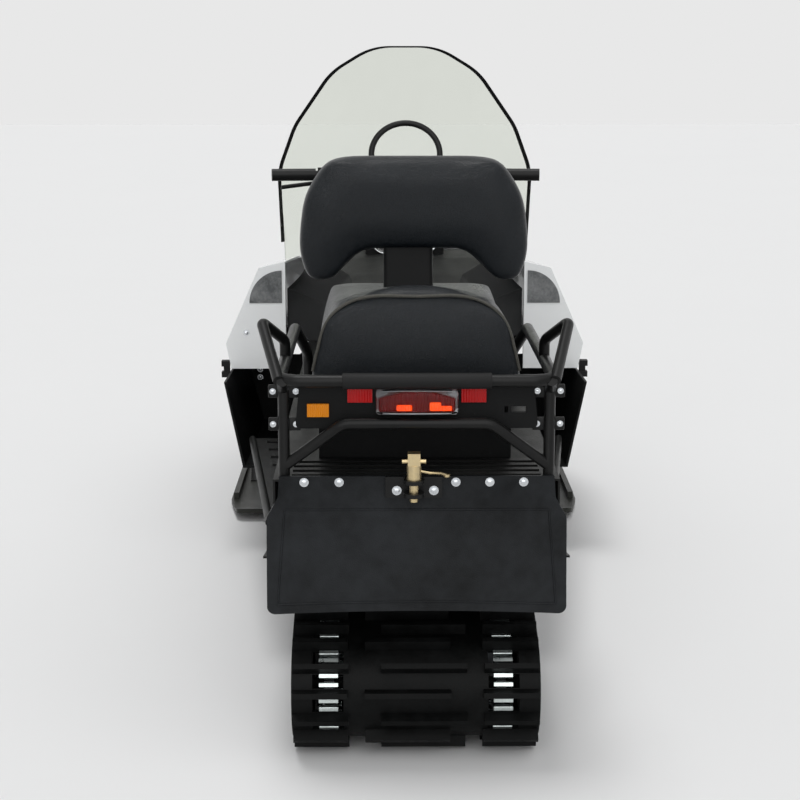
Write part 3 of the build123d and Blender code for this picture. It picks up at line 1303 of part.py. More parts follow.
def hitch_pin():
    """The pull-out pin through the hitch, with its square brass head."""
    x, y = HITCH_PIN_X, HITCH_Y
    shank_low = HITCH_EAR_LOW + HITCH_THICKNESS + SEAT_GAP
    shank_top = HITCH_EAR_HIGH - SEAT_GAP
    tip = upright(PIN_TIP_RADIUS, HITCH_EAR_LOW - PIN_TIP_REACH, shank_low, x, y)
    shank = upright(HITCH_PIN_RADIUS, shank_low, shank_top, x, y)
    top = upright(PIN_HEAD_RADIUS, shank_top, PIN_COLLAR_TOP, x, y)
    collar = upright(PIN_COLLAR_RADIUS, HITCH_EAR_HIGH + HITCH_THICKNESS + SEAT_GAP, PIN_COLLAR_TOP, x, y)
    head = Box(PIN_HEAD_WIDTH, PIN_HEAD_WIDTH, PIN_HEAD_WIDTH)
    return tip + shank + top + collar + Pos(x, y, PIN_COLLAR_TOP + PIN_HEAD_WIDTH / 2) * head


def hood_latch():
    """The waisted rubber strap over the joint of hood and pan, left side."""
    strap = Pos(LATCH_X, LATCH_Y, LATCH_RISE) * Box(LATCH_LENGTH, LATCH_DEPTH, LATCH_HEIGHT)
    bite = Box(LATCH_LENGTH, LATCH_DEPTH / 2, LATCH_HEIGHT / 3)
    strap -= Pos(LATCH_X, LATCH_Y + LATCH_DEPTH / 2, LATCH_RISE) * bite
    side = Box(LATCH_LENGTH - LATCH_WAIST, 2 * LATCH_DEPTH, LATCH_HEIGHT / 3)
    for end in (-1, 1):
        strap -= Pos(LATCH_X + end * LATCH_LENGTH / 2, LATCH_Y, LATCH_RISE) * side
    return strap


def hood_hinge():
    """The pin that the hood tips forward on, held by two arms on the pan's nose."""
    pin = across(HINGE_PIN, 2 * HINGE_ARM_Y + HINGE_EAR, HINGE_X, 0, HINGE_RISE)
    (rear_x, *_, rear_top), (front_x, *_, front_top) = NOSE_STATIONS[-2:]
    share = (HINGE_FOOT_X - rear_x) / (front_x - rear_x)
    foot_z = rear_top + share * (front_top - rear_top) + SEAT_GAP
    top_z = HINGE_RISE + SEAT_GAP
    for side in (-1, 1):
        arm = outline(
            (HINGE_FOOT_X, foot_z), (HINGE_FOOT_X, foot_z + PLASTIC), (HINGE_X - HINGE_EAR, top_z),
            (HINGE_X, HINGE_RISE + HINGE_PIN), (HINGE_X + HINGE_PIN, HINGE_RISE + HINGE_PIN),
            (HINGE_X + HINGE_PIN, HINGE_RISE - HINGE_PIN - SHEET / 2), (front_x, front_top + SEAT_GAP),
        )
        pin += side_prism(arm, side * HINGE_ARM_Y - HINGE_EAR / 2, side * HINGE_ARM_Y + HINGE_EAR / 2)
    return pin


def hood_ears():
    """The hood's two ears round the hinge pin."""
    front = HOOD_STATIONS[-1][0]
    ear = outline(
        (front - HOOD_SKIN, EAR_SHOULDER), (front - HOOD_SKIN, EAR_HIGH), (front, EAR_HIGH),
        (HINGE_X + HINGE_EAR, EAR_SHOULDER), (HINGE_X + HINGE_EAR, EAR_LOW), (front + SEAT_GAP, EAR_LOW),
    )
    ears = side_prism(ear, HINGE_EAR_Y - HINGE_EAR / 2, HINGE_EAR_Y + HINGE_EAR / 2)
    ears -= across(HINGE_PIN + SEAT_GAP, 4 * HINGE_ARM_Y, HINGE_X, 0, HINGE_RISE)
    return both(ears)


# Handlebar, whose own column leans back
def column_point(along):
    """A place on the steering column, measured from where it leaves the console."""
    x = BAR_X + COLUMN_DROP * tan(radians(COLUMN_TILT)) - along * sin(radians(COLUMN_TILT))
    return (x, 0, BAR_RISE - COLUMN_DROP + along * cos(radians(COLUMN_TILT)))


def bar_point(y, forward=0, down=0):
    """A place on, ahead of or below the outer part of the bar, at one distance to the left."""
    share = (BAR_HALF - y) / (BAR_HALF - BAR_KNEE)
    return (BAR_X + BAR_SWEEP * share + forward, y, BAR_RISE - down)


def bar_controls():
    """The left switch block with its brake lever, all fused to the bar."""
    block = Pos(*bar_point(SWITCH_Y)) * Box(SWITCH_DEPTH, SWITCH_WIDTH, SWITCH_DEPTH)
    drop = SWITCH_DEPTH / 3
    root = bar_point(SWITCH_Y, 0, drop)
    knee = bar_point(SWITCH_Y + SWITCH_WIDTH / 2, LEVER_REACH, drop)
    end = bar_point(LEVER_END_Y, LEVER_REACH, drop)
    return block + bent_tube(LEVER_RADIUS, LEVER_BEND, root, knee, end)


def handlebar():
    """The column, the bar with its grips and controls, and the grab hoop above it."""
    top = COLUMN_DROP / cos(radians(COLUMN_TILT))
    body = rod(COLUMN_RADIUS, column_point(-COLUMN_FOOT), column_point(top))
    right = [(BAR_X, -BAR_HALF), (BAR_X + BAR_SWEEP, -BAR_KNEE), (BAR_X, -BAR_CENTRE_HALF)]
    ends = [(x, -y, BAR_RISE) for x, y in right] + [(x, y, BAR_RISE) for x, y in reversed(right)]
    body += bent_tube(BAR_RADIUS, BAR_BEND, *ends)
    body += bent_tube(
        BAR_RADIUS - SHEET / 2, HOOP_BEND,
        (BAR_X, HOOP_HALF, BAR_RISE), (HOOP_X, HOOP_HALF, HOOP_RISE),
        (HOOP_X, -HOOP_HALF, HOOP_RISE), (BAR_X, -HOOP_HALF, BAR_RISE),
    )
    grip = rod(GRIP_RADIUS, bar_point(BAR_HALF - GRIP_LENGTH), bar_point(BAR_HALF + SHEET))
    body += [grip, mirrored(grip), bar_controls()]
    throttle = Pos(*bar_point(SWITCH_Y)) * Box(SWITCH_DEPTH, SWITCH_WIDTH, SWITCH_DEPTH)
    drop = SWITCH_DEPTH / 3
    thumb = rod(LEVER_RADIUS, bar_point(SWITCH_Y, 0, drop), bar_point(THUMB_Y, -THUMB_REACH, drop))
    return body + mirrored(throttle + thumb)


BUILDERS = {
    "track": track,
    "slide_rails": slide_rails,
    "rear_idlers": rear_idlers,
    "bogie_wheels": bogie_wheels,
    "carrier_wheels": carrier_wheels,
    "drive_axle": drive_axle,
    "front_arm": lambda: swing_arm(FRONT_ARM_FOOT_X, FRONT_ARM_HEAD_X, FRONT_ARM_HEAD_RISE),
    "rear_arm": lambda: swing_arm(REAR_ARM_FOOT_X, REAR_ARM_HEAD_X, REAR_ARM_HEAD_RISE),
    "front_shock": lambda: shock(
        (BOGIE_PLACES_X[2], BOGIE_RISE, AXLE_RADIUS), (FRONT_ARM_HEAD_X, FRONT_ARM_HEAD_RISE, ARM_TUBE)
    ),
    "rear_shock": lambda: shock(
        (BOGIE_PLACES_X[1], BOGIE_RISE, AXLE_RADIUS), (REAR_ARM_HEAD_X, REAR_ARM_HEAD_RISE, ARM_TUBE)
    ),
    "tunnel": tunnel,
    "running_board_left": running_board,
    "running_board_right": lambda: mirrored(running_board()),
    "belly_pan": belly_pan,
    "strut_left": strut,
    "strut_right": lambda: mirrored(strut()),
    "front_bumper": front_bumper,
    "front_frame": front_frame,
    "ski_leg_left": ski_leg,
    "ski_leg_right": lambda: mirrored(ski_leg()),
    "gaiter_left": gaiter,
    "gaiter_right": lambda: mirrored(gaiter()),
    "tie_rod_left": tie_rod,
    "tie_rod_right": lambda: mirrored(tie_rod()),
    "ski_left": ski,
    "ski_right": lambda: mirrored(ski()),
    "ski_runner_left": ski_runner,
    "ski_runner_right": lambda: mirrored(ski_runner()),
    "ski_saddle_left": ski_saddle,
    "ski_saddle_right": lambda: mirrored(ski_saddle()),
    "ski_pivot_left": ski_pivot,
    "ski_pivot_right": lambda: mirrored(ski_pivot()),
    "hood": hood,
    "headlamps": headlamps,
    "hood_panels": hood_panels,
    "windshield": windshield,
    "windshield_trim": windshield_trim,
    "console": console,
    "column_bearing": column_bearing,
    "seat_base": seat_base,
    "seat": seat,
    "backrest": backrest,
    "backrest_post": backrest_post,
    "rack": rack,
    "lamp_panel": lamp_panel,
    "tail_lamp": tail_lamp,
    "reflectors": reflectors,
    "amber_reflector": amber_reflector,
    "flap": flap,
    "hitch": hitch,
    "hitch_pin": hitch_pin,
    "hood_hinge": hood_hinge,
    "latch_left": hood_latch,
    "latch_right": lambda: mirrored(hood_latch()),
    "engine": engine,
    "handlebar": handlebar,
}

for node, builder in BUILDERS.items():
    save(node, builder())
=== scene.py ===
"""Looks of a two-seat utility snowmobile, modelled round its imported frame."""
from __future__ import annotations

import json
import logging
import math
from dataclasses import dataclass
from enum import Enum
from typing import Callable

import bmesh
import bpy
from mathutils import Matrix, Vector
from mathutils.bvhtree import BVHTree

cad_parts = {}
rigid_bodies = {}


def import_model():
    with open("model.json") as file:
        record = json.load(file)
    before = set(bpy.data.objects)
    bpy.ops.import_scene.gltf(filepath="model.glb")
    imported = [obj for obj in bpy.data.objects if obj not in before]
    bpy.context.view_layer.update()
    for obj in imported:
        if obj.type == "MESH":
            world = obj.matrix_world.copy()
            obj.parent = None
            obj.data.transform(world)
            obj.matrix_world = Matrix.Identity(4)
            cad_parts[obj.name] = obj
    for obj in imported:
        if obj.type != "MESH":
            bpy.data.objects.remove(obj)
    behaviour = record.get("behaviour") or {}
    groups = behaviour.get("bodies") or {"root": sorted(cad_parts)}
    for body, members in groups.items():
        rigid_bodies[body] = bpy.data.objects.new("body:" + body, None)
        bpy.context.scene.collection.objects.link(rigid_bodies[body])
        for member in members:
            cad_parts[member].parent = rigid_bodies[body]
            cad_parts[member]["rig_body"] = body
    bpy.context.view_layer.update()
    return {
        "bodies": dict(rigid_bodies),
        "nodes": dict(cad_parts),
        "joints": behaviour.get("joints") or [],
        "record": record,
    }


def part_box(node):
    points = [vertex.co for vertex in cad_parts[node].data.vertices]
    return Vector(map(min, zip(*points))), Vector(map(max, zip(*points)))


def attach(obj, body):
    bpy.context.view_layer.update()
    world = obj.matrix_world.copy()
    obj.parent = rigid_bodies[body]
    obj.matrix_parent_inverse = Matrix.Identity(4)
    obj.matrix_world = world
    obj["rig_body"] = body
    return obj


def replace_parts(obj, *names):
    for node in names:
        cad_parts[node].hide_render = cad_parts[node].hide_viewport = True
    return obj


LOG = logging.getLogger("snowmobile")
TURN = 2 * math.pi
TOUCHING = 0.00001
BEHIND = -1.6
FORWARD = (1, 0, 0)
REARWARD = (-1, 0, 0)
UP = (0, 0, 1)
ACROSS = (0, 1, 0)

Colour = tuple[float, float, float]
Point = tuple[float, float, float]
BMesh = bmesh.types.BMesh
Material = bpy.types.Material
Node = bpy.types.Node
NodeTree = bpy.types.NodeTree
Piece = bpy.types.Object


class Effect(Enum):
    """Surface effects that several finishes share, each a node group."""

    GRAIN = "fine_grain"
    MOTTLE = "broad_mottle"
    SCUFF = "fine_scuffs"
    LEATHER = "leather_grain"
    BRUSH = "brushed_lines"


def feed(tree: NodeTree, socket, value) -> None:
    """Give an input a link from another socket, or a plain number, vector or colour."""
    if isinstance(value, bpy.types.NodeSocket):
        tree.links.new(value, socket)
    elif socket.type == "RGBA":
        socket.default_value = (*value, 1.0)
    else:
        socket.default_value = value


def add_node(tree: NodeTree, kind: str, inputs: dict | None = None, **settings) -> Node:
    """Add a node to a tree.

    Args:
        tree: The tree.
        kind: The node's type.
        inputs: What each input is fed with, by the input's name or number.
        **settings: The node's own settings.

    Returns:
        The node.
    """
    node = tree.nodes.new(kind)
    for name, value in settings.items():
        setattr(node, name, value)
    for key, value in (inputs or {}).items():
        feed(tree, node.inputs[key], value)
    return node


def math_node(tree: NodeTree, operation: str, *values, clamp: bool = False):
    """Add a maths node fed by sockets or plain numbers and return its result socket."""
    node = add_node(tree, "ShaderNodeMath", dict(enumerate(values)), operation=operation, use_clamp=clamp)
    return node.outputs[0]


def noise_node(tree: NodeTree, vector, scale, detail: float = 3.0, roughness: float = 0.55):
    """Add a noise texture read at the vector and return its value socket."""
    inputs = {"Vector": vector, "Scale": scale, "Detail": detail, "Roughness": roughness}
    return add_node(tree, "ShaderNodeTexNoise", inputs).outputs["Fac"]


def range_node(tree: NodeTree, value, low: float, high: float, to_low: float = 0.0, to_high: float = 1.0):
    """Map a value from one range to another, clamped, and return the result socket."""
    inputs = {"Value": value, "From Min": low, "From Max": high, "To Min": to_low, "To Max": to_high}
    return add_node(tree, "ShaderNodeMapRange", inputs).outputs["Result"]


def mix_colour(tree: NodeTree, mask, first, second):
    """Blend two colours, given as sockets or plain colours, by a mask and return the result."""
    node = add_node(tree, "ShaderNodeMix", {"Factor": mask}, data_type="RGBA")
    for name, value in (("A", first), ("B", second)):
        feed(tree, next(s for s in node.inputs if s.name == name and s.type == "RGBA"), value)
    return next(s for s in node.outputs if s.type == "RGBA")


def new_group(effect: Effect, inputs: dict[str, float], *outputs: str) -> tuple:
    """Make an empty effect group with a vector input.

    Args:
        effect: Which effect the group is for; it names the group.
        inputs: Name and default of each input after the vector.
        *outputs: Names of the value outputs.

    Returns:
        The tree, the sockets that it reads and the sockets that it fills.
    """
    tree = bpy.data.node_groups.new(effect.value, "ShaderNodeTree")
    tree.interface.new_socket("Vector", in_out="INPUT", socket_type="NodeSocketVector")
    for name, default in inputs.items():
        socket = tree.interface.new_socket(name, in_out="INPUT", socket_type="NodeSocketFloat")
        socket.default_value = default
    for name in outputs:
        tree.interface.new_socket(name, in_out="OUTPUT", socket_type="NodeSocketFloat")
    return tree, tree.nodes.new("NodeGroupInput").outputs, tree.nodes.new("NodeGroupOutput").inputs


def grain_group() -> NodeTree:
    """A stippled moulding texture: rounded bumps with a little noise between them."""
    tree, given, made = new_group(Effect.GRAIN, {"Scale": 900.0}, "Height")
    vector, scale = given["Vector"], given["Scale"]
    cells = add_node(tree, "ShaderNodeTexVoronoi", {"Vector": vector, "Scale": scale}, feature="SMOOTH_F1")
    noise = noise_node(tree, vector, scale, 2.0)
    bumps = math_node(tree, "MULTIPLY", cells.outputs["Distance"], -0.7)
    feed(tree, made["Height"], math_node(tree, "ADD", bumps, noise))
    return tree


def mottle_group() -> NodeTree:
    """Slow colour and gloss variation over a panel, as two layers of noise."""
    tree, given, made = new_group(Effect.MOTTLE, {"Scale": 3.0}, "Mask")
    vector, scale = given["Vector"], given["Scale"]
    broad = noise_node(tree, vector, scale, 4.0, 0.6)
    finer = noise_node(tree, vector, math_node(tree, "MULTIPLY", scale, 7.0), 3.0)
    layers = [math_node(tree, "MULTIPLY", layer, share) for layer, share in ((broad, 0.7), (finer, 0.3))]
    feed(tree, made["Mask"], range_node(tree, math_node(tree, "ADD", *layers), 0.36, 0.64))
    return tree


def scuff_group() -> NodeTree:
    """Thin rubbed scratches, from noise stretched along two directions."""
    tree, given, made = new_group(Effect.SCUFF, {"Scale": 14.0, "Amount": 0.3}, "Mask")
    layers = []
    for turn, stretch in ((0.4, (1.0, 14.0, 5.0)), (2.1, (12.0, 1.0, 7.0))):
        inputs = {"Vector": given["Vector"], "Rotation": (0.3, turn, turn), "Scale": stretch}
        mapping = add_node(tree, "ShaderNodeMapping", inputs)
        layers.append(noise_node(tree, mapping.outputs["Vector"], given["Scale"], 5.0, 0.7))
    lines = range_node(tree, math_node(tree, "MAXIMUM", *layers), 0.64, 0.74)
    feed(tree, made["Mask"], math_node(tree, "MULTIPLY", lines, given["Amount"]))
    return tree


def leather_group() -> NodeTree:
    """The pebbled grain of seat vinyl: cells with creases between them."""
    tree, given, made = new_group(Effect.LEATHER, {"Scale": 420.0}, "Height", "Crease")
    warp = math_node(tree, "MULTIPLY", noise_node(tree, given["Vector"], 60.0, 2.0), 0.004)
    shift = add_node(tree, "ShaderNodeVectorMath", {0: given["Vector"], 1: warp}, operation="ADD")
    inputs = {"Vector": shift.outputs["Vector"], "Scale": given["Scale"]}
    cells = add_node(tree, "ShaderNodeTexVoronoi", inputs, feature="DISTANCE_TO_EDGE")
    crease = range_node(tree, cells.outputs["Distance"], 0.0, 0.16)
    feed(tree, made["Height"], crease)
    feed(tree, made["Crease"], crease)
    return tree


def brush_group() -> NodeTree:
    """Fine drawn lines on bare metal, running across the machine."""
    tree, given, made = new_group(Effect.BRUSH, {"Scale": 300.0}, "Mask")
    mapping = add_node(tree, "ShaderNodeMapping", {"Vector": given["Vector"], "Scale": (1.0, 0.04, 1.0)})
    feed(tree, made["Mask"], noise_node(tree, mapping.outputs["Vector"], given["Scale"], 3.0))
    return tree


class EffectLibrary:
    """Builds each effect group once and hands it to the finishes that ask for it."""

    makers: dict[Effect, Callable[[], NodeTree]] = {
        Effect.GRAIN: grain_group,
        Effect.MOTTLE: mottle_group,
        Effect.SCUFF: scuff_group,
        Effect.LEATHER: leather_group,
        Effect.BRUSH: brush_group,
    }

    def __init__(self) -> None:
        """Start with no groups made."""
        self.made: dict[Effect, NodeTree] = {}

    def place(self, tree: NodeTree, effect: Effect, vector, **values: float):
        """Put an effect into a material's tree.

        Args:
            tree: The material's node tree.
            effect: Which effect to place.
            vector: Socket with the coordinates that it reads.
            **values: Numbers for its named inputs, in lower case.

        Returns:
            The group node's outputs.
        """
        if effect not in self.made:
            self.made[effect] = self.makers[effect]()
        inputs = {"Vector": vector} | {name.capitalize(): value for name, value in values.items()}
        return add_node(tree, "ShaderNodeGroup", inputs, node_tree=self.made[effect]).outputs


EFFECTS = EffectLibrary()


@dataclass(frozen=True)
class Finish:
    """A procedural surface: base colours, gloss and the effects laid over them.

    Distances are in metres and scales are per metre, so one finish suits every piece.
    """

    name: str
    colour: Colour
    shade: Colour
    roughness: float = 0.5
    swing: float = 0.1
    metallic: float = 0.0
    coat: float = 0.0
    mottle_scale: float = 3.0
    grain_scale: float = 900.0
    grain_depth: float = 0.0
    scuff: float = 0.0
    scuff_colour: Colour = (0.3, 0.3, 0.3)
    specular: float = 0.5

    def start(self) -> tuple:
        """Return the new material, its tree, its shader's inputs, its coordinates and its mottle."""
        material = bpy.data.materials.new(self.name)
        material.use_nodes = True
        tree = material.node_tree
        shader = tree.nodes["Principled BSDF"].inputs
        feed(tree, shader["Metallic"], self.metallic)
        feed(tree, shader["Coat Weight"], self.coat)
        feed(tree, shader["Specular IOR Level"], self.specular)
        vector = add_node(tree, "ShaderNodeTexCoord").outputs["Object"]
        mottle = EFFECTS.place(tree, Effect.MOTTLE, vector, scale=self.mottle_scale)["Mask"]
        return material, tree, shader, vector, mottle

    def gloss(self, tree: NodeTree, mask, low: float = 0.0, high: float = 1.0):
        """Return the roughness, swung about its middle by a mask between two values."""
        half = self.swing / 2
        return range_node(tree, mask, low, high, self.roughness - half, self.roughness + half)

    def bump(self, tree: NodeTree, shader, height, depth: float) -> None:
        """Raise the surface by a height socket, up to the depth in metres."""
        node = add_node(tree, "ShaderNodeBump", {"Distance": depth, "Strength": 1.0, "Height": height})
        feed(tree, shader["Normal"], node.outputs["Normal"])

    def build(self) -> Material:
        """Make the Blender material.

        Returns:
            The material, ready for a slot.
        """
        material, tree, shader, vector, mottle = self.start()
        colour = mix_colour(tree, mottle, self.colour, self.shade)
        rough = self.gloss(tree, mottle)
        if self.scuff > 0:
            mask = EFFECTS.place(tree, Effect.SCUFF, vector, amount=self.scuff)["Mask"]
            colour = mix_colour(tree, mask, colour, self.scuff_colour)
            rough = math_node(tree, "ADD", rough, math_node(tree, "MULTIPLY", mask, 0.2), clamp=True)
        feed(tree, shader["Base Color"], colour)
        feed(tree, shader["Roughness"], rough)
        if self.grain_depth > 0:
            grain = EFFECTS.place(tree, Effect.GRAIN, vector, scale=self.grain_scale)["Height"]
            self.bump(tree, shader, grain, self.grain_depth)
        return material


@dataclass(frozen=True)
class VinylFinish(Finish):
    """Grained seat cover, with painted shade darkening the creases of its grain against its crowns."""

    grain_scale: float = 430.0
    grain_depth: float = 0.0003
    # share of the colour left in the grain's creases, as painted shade
    crease_shade_share: float = 0.45

    def build(self) -> Material:
        """Make the vinyl material and return it."""
        material, tree, shader, vector, mottle = self.start()
        leather = EFFECTS.place(tree, Effect.LEATHER, vector, scale=self.grain_scale)
        broad = mix_colour(tree, mottle, self.colour, self.shade)
        # Painted shade: the grain's creases are darkened in colour, standing in for the shade that falls into
        # them.
        dark = tuple(self.crease_shade_share * part for part in self.colour)
        feed(tree, shader["Base Color"], mix_colour(tree, leather["Crease"], dark, broad))
        feed(tree, shader["Roughness"], self.gloss(tree, mottle))
        self.bump(tree, shader, leather["Height"], self.grain_depth)
        return material


@dataclass(frozen=True)
class MetalFinish(Finish):
    """Bare or plated metal with fine drawn lines and patches of dulled plating."""

    metallic: float = 1.0
    line_scale: float = 300.0
    line_depth: float = 0.00006

    def build(self) -> Material:
        """Make the metal material and return it."""
        material, tree, shader, vector, mottle = self.start()
        lines = EFFECTS.place(tree, Effect.BRUSH, vector, scale=self.line_scale)["Mask"]
        feed(tree, shader["Base Color"], mix_colour(tree, mottle, self.colour, self.shade))
        mixed = math_node(tree, "MULTIPLY", math_node(tree, "ADD", lines, mottle), 0.5)
        feed(tree, shader["Roughness"], self.gloss(tree, mixed, 0.2, 0.8))
        self.bump(tree, shader, lines, self.line_depth)
        return material


@dataclass(frozen=True)
class ClearFinish(Finish):
    """Tinted clear sheet or lens: glass-like, with faint smears on its gloss."""

    transmission: float = 1.0
    ior: float = 1.2
    glow: Colour | None = None
    glow_strength: float = 0.0
    rib_scale: float = 0.0
    rib_depth: float = 0.001

    def build(self) -> Material:
        """Make the clear material and return it."""
        material, tree, shader, vector, mottle = self.start()
        feed(tree, shader["Transmission Weight"], self.transmission)
        feed(tree, shader["IOR"], self.ior)
        feed(tree, shader["Base Color"], mix_colour(tree, mottle, self.colour, self.shade))
        rough = range_node(tree, mottle, 0.0, 1.0, self.roughness, self.roughness + self.swing)
        feed(tree, shader["Roughness"], rough)
        if self.glow is not None:
            feed(tree, shader["Emission Color"], self.glow)
            feed(tree, shader["Emission Strength"], self.glow_strength)
        if self.rib_scale > 0:
            inputs = {"Scale": self.rib_scale, "Vector": vector}
            ribs = add_node(tree, "ShaderNodeTexWave", inputs, bands_direction="Y")
            self.bump(tree, shader, ribs.outputs["Fac"], self.rib_depth)
        return material


class Surfaces:
    """Every finish of the machine, each made into a material the first time it is asked for."""

    hood_white = Finish("hood_white", (0.82, 0.835, 0.835), (0.78, 0.795, 0.80), 0.22, 0.08, coat=0.6,
                        mottle_scale=1.6, scuff=0.05, scuff_colour=(0.60, 0.61, 0.62))
    body_black = Finish("body_black", (0.0040, 0.0042, 0.0044), (0.0075, 0.0078, 0.0080), 0.46, 0.16,
                        grain_scale=1100.0, grain_depth=0.00025, scuff=0.25,
                        scuff_colour=(0.035, 0.035, 0.035), specular=0.09)
    frame_paint = Finish("frame_paint", (0.0045, 0.0046, 0.0048), (0.0085, 0.0086, 0.0084), 0.34, 0.14,
                         grain_scale=1600.0, grain_depth=0.00008, scuff=0.3,
                         scuff_colour=(0.045, 0.044, 0.042), mottle_scale=6.0, specular=0.18)
    tunnel_paint = Finish("tunnel_paint", (0.0050, 0.0054, 0.0054), (0.011, 0.011, 0.0105), 0.40, 0.18,
                          grain_scale=1300.0, grain_depth=0.00012, scuff=0.5,
                          scuff_colour=(0.05, 0.05, 0.046), specular=0.14)
    track_rubber = Finish("track_rubber", (0.0026, 0.0028, 0.0028), (0.0060, 0.0064, 0.0064), 0.44, 0.25,
                          grain_scale=700.0, grain_depth=0.0004, scuff=0.3,
                          scuff_colour=(0.020, 0.020, 0.020), mottle_scale=14.0, specular=0.08)
    # The flap's pale mottle colour is painted sheen: patches three to four times lighter than its base stand
    # in for the soft sheen over the rubber.
    flap_rubber = Finish("flap_rubber", (0.0048, 0.0054, 0.0060), (0.0175, 0.0192, 0.0212), 0.40, 0.20,
                         grain_scale=520.0, grain_depth=0.0004, scuff=0.3, scuff_colour=(0.028, 0.029, 0.031),
                         mottle_scale=5.0, specular=0.11)
    soft_rubber = Finish("soft_rubber", (0.0045, 0.0046, 0.0048), (0.0090, 0.0090, 0.0092), 0.60, 0.15,
                         grain_scale=900.0, grain_depth=0.0002, specular=0.2)
    vinyl = VinylFinish("seat_vinyl", (0.0042, 0.0064, 0.0088), (0.0066, 0.0094, 0.0125), 0.31, 0.10,
                        mottle_scale=4.0, specular=0.24)
    # The piping's pale olive grey is painted sheen, standing in for the light along the seat dome's rounded
    # rim.
    piping_sheen_vinyl = VinylFinish("seat_piping_sheen_vinyl", (0.060, 0.058, 0.050), (0.085, 0.082, 0.070), 0.46, 0.12,
                             mottle_scale=6.0, specular=0.3)
    plated = MetalFinish("plated_steel", (0.62, 0.64, 0.66), (0.48, 0.50, 0.52), 0.26, 0.2, mottle_scale=24.0)
    clip_steel = MetalFinish("clip_steel", (0.66, 0.72, 0.71), (0.46, 0.50, 0.49), 0.32, 0.2,
                             mottle_scale=30.0)
    alloy = MetalFinish("rail_alloy", (0.30, 0.31, 0.32), (0.20, 0.21, 0.22), 0.36, 0.2, mottle_scale=8.0)
    brass = MetalFinish("yellow_plated", (0.62, 0.49, 0.27), (0.50, 0.41, 0.25), 0.34, 0.2, mottle_scale=40.0)
    ski_plastic = Finish("ski_plastic", (0.016, 0.017, 0.014), (0.026, 0.027, 0.022), 0.44, 0.16,
                         grain_scale=800.0, grain_depth=0.0002, scuff=0.4, scuff_colour=(0.07, 0.07, 0.065),
                         specular=0.25)
    screen = ClearFinish("screen_clear", (0.845, 0.87, 0.81), (0.825, 0.85, 0.79), 0.012, 0.02, ior=1.12)
    lamp_clear = ClearFinish("lamp_clear", (0.90, 0.90, 0.90), (0.86, 0.86, 0.86), 0.03, 0.02, ior=1.18)
    # The reflectors are no lamps: the faint red glow is painted light, standing in for the light they throw
    # back.
    lens_red = ClearFinish("lens_red", (0.42, 0.003, 0.004), (0.34, 0.002, 0.003), 0.12, 0.05,
                           transmission=0.15, ior=1.45, glow=(0.5, 0.002, 0.002), glow_strength=0.10,
                           rib_scale=60.0, specular=0.25)
    lamp_red = ClearFinish("lamp_red", (0.16, 0.004, 0.004), (0.07, 0.002, 0.002), 0.12, 0.10,
                           mottle_scale=40.0, transmission=0.3, ior=1.4, glow=(0.4, 0.004, 0.002),
                           glow_strength=0.05, rib_scale=60.0, specular=0.25)
    lens_lit = ClearFinish("lens_lit", (0.90, 0.10, 0.01), (0.85, 0.04, 0.01), 0.15, 0.05, mottle_scale=60.0,
                           transmission=0.1, ior=1.45, glow=(1.0, 0.07, 0.003), glow_strength=0.65,
                           rib_scale=60.0)
    # The amber reflector is no lamp: its faint glow is painted light, standing in for the light it throws
    # back.
    lens_amber = ClearFinish("lens_amber", (0.66, 0.22, 0.003), (0.58, 0.18, 0.003), 0.12, 0.05,
                             transmission=0.1, ior=1.45, glow=(0.8, 0.28, 0.003), glow_strength=0.10,
                             rib_scale=80.0, specular=0.25)
    label_dark = Finish("label_dark", (0.075, 0.080, 0.082), (0.20, 0.205, 0.208), 0.40, 0.1,
                        mottle_scale=22.0, specular=0.3)
    gauge_face = Finish("gauge_face", (0.004, 0.004, 0.0045), (0.007, 0.007, 0.0075), 0.12, 0.04, coat=0.8,
                        mottle_scale=20.0)
    reflector_bowl = MetalFinish("reflector_bowl", (0.85, 0.86, 0.87), (0.75, 0.76, 0.78), 0.08, 0.06,
                                 mottle_scale=20.0)
    cast_block = Finish("cast_block", (0.05, 0.05, 0.05), (0.09, 0.09, 0.088), 0.6, 0.2, metallic=0.6,
                        grain_scale=500.0, grain_depth=0.0006)

    def __init__(self) -> None:
        """Start with no material made."""
        self.made: dict[str, Material] = {}

    def material(self, finish: Finish) -> Material:
        """Return the material of a finish, made once."""
        if finish.name not in self.made:
            self.made[finish.name] = finish.build()
        return self.made[finish.name]

    def dress(self, piece: Piece, *finishes: Finish) -> None:
        """Put finishes into a piece's material slots, in order."""
        piece.data.materials.clear()
        for finish in finishes:
            piece.data.materials.append(self.material(finish))


SURFACES = Surfaces()


def stand(name: str, data) -> Piece:
    """Make an object of new data, link it to the scene and return it."""
    made = bpy.data.objects.new(name, data)
    bpy.context.scene.collection.objects.link(made)
    return made


def stand_mesh(name: str, bm: BMesh) -> Piece:
    """Turn a mesh into an object of the scene, free it and return the object."""
    mesh = bpy.data.meshes.new(name)
    bm.to_mesh(mesh)
    bm.free()
    return stand(name, mesh)


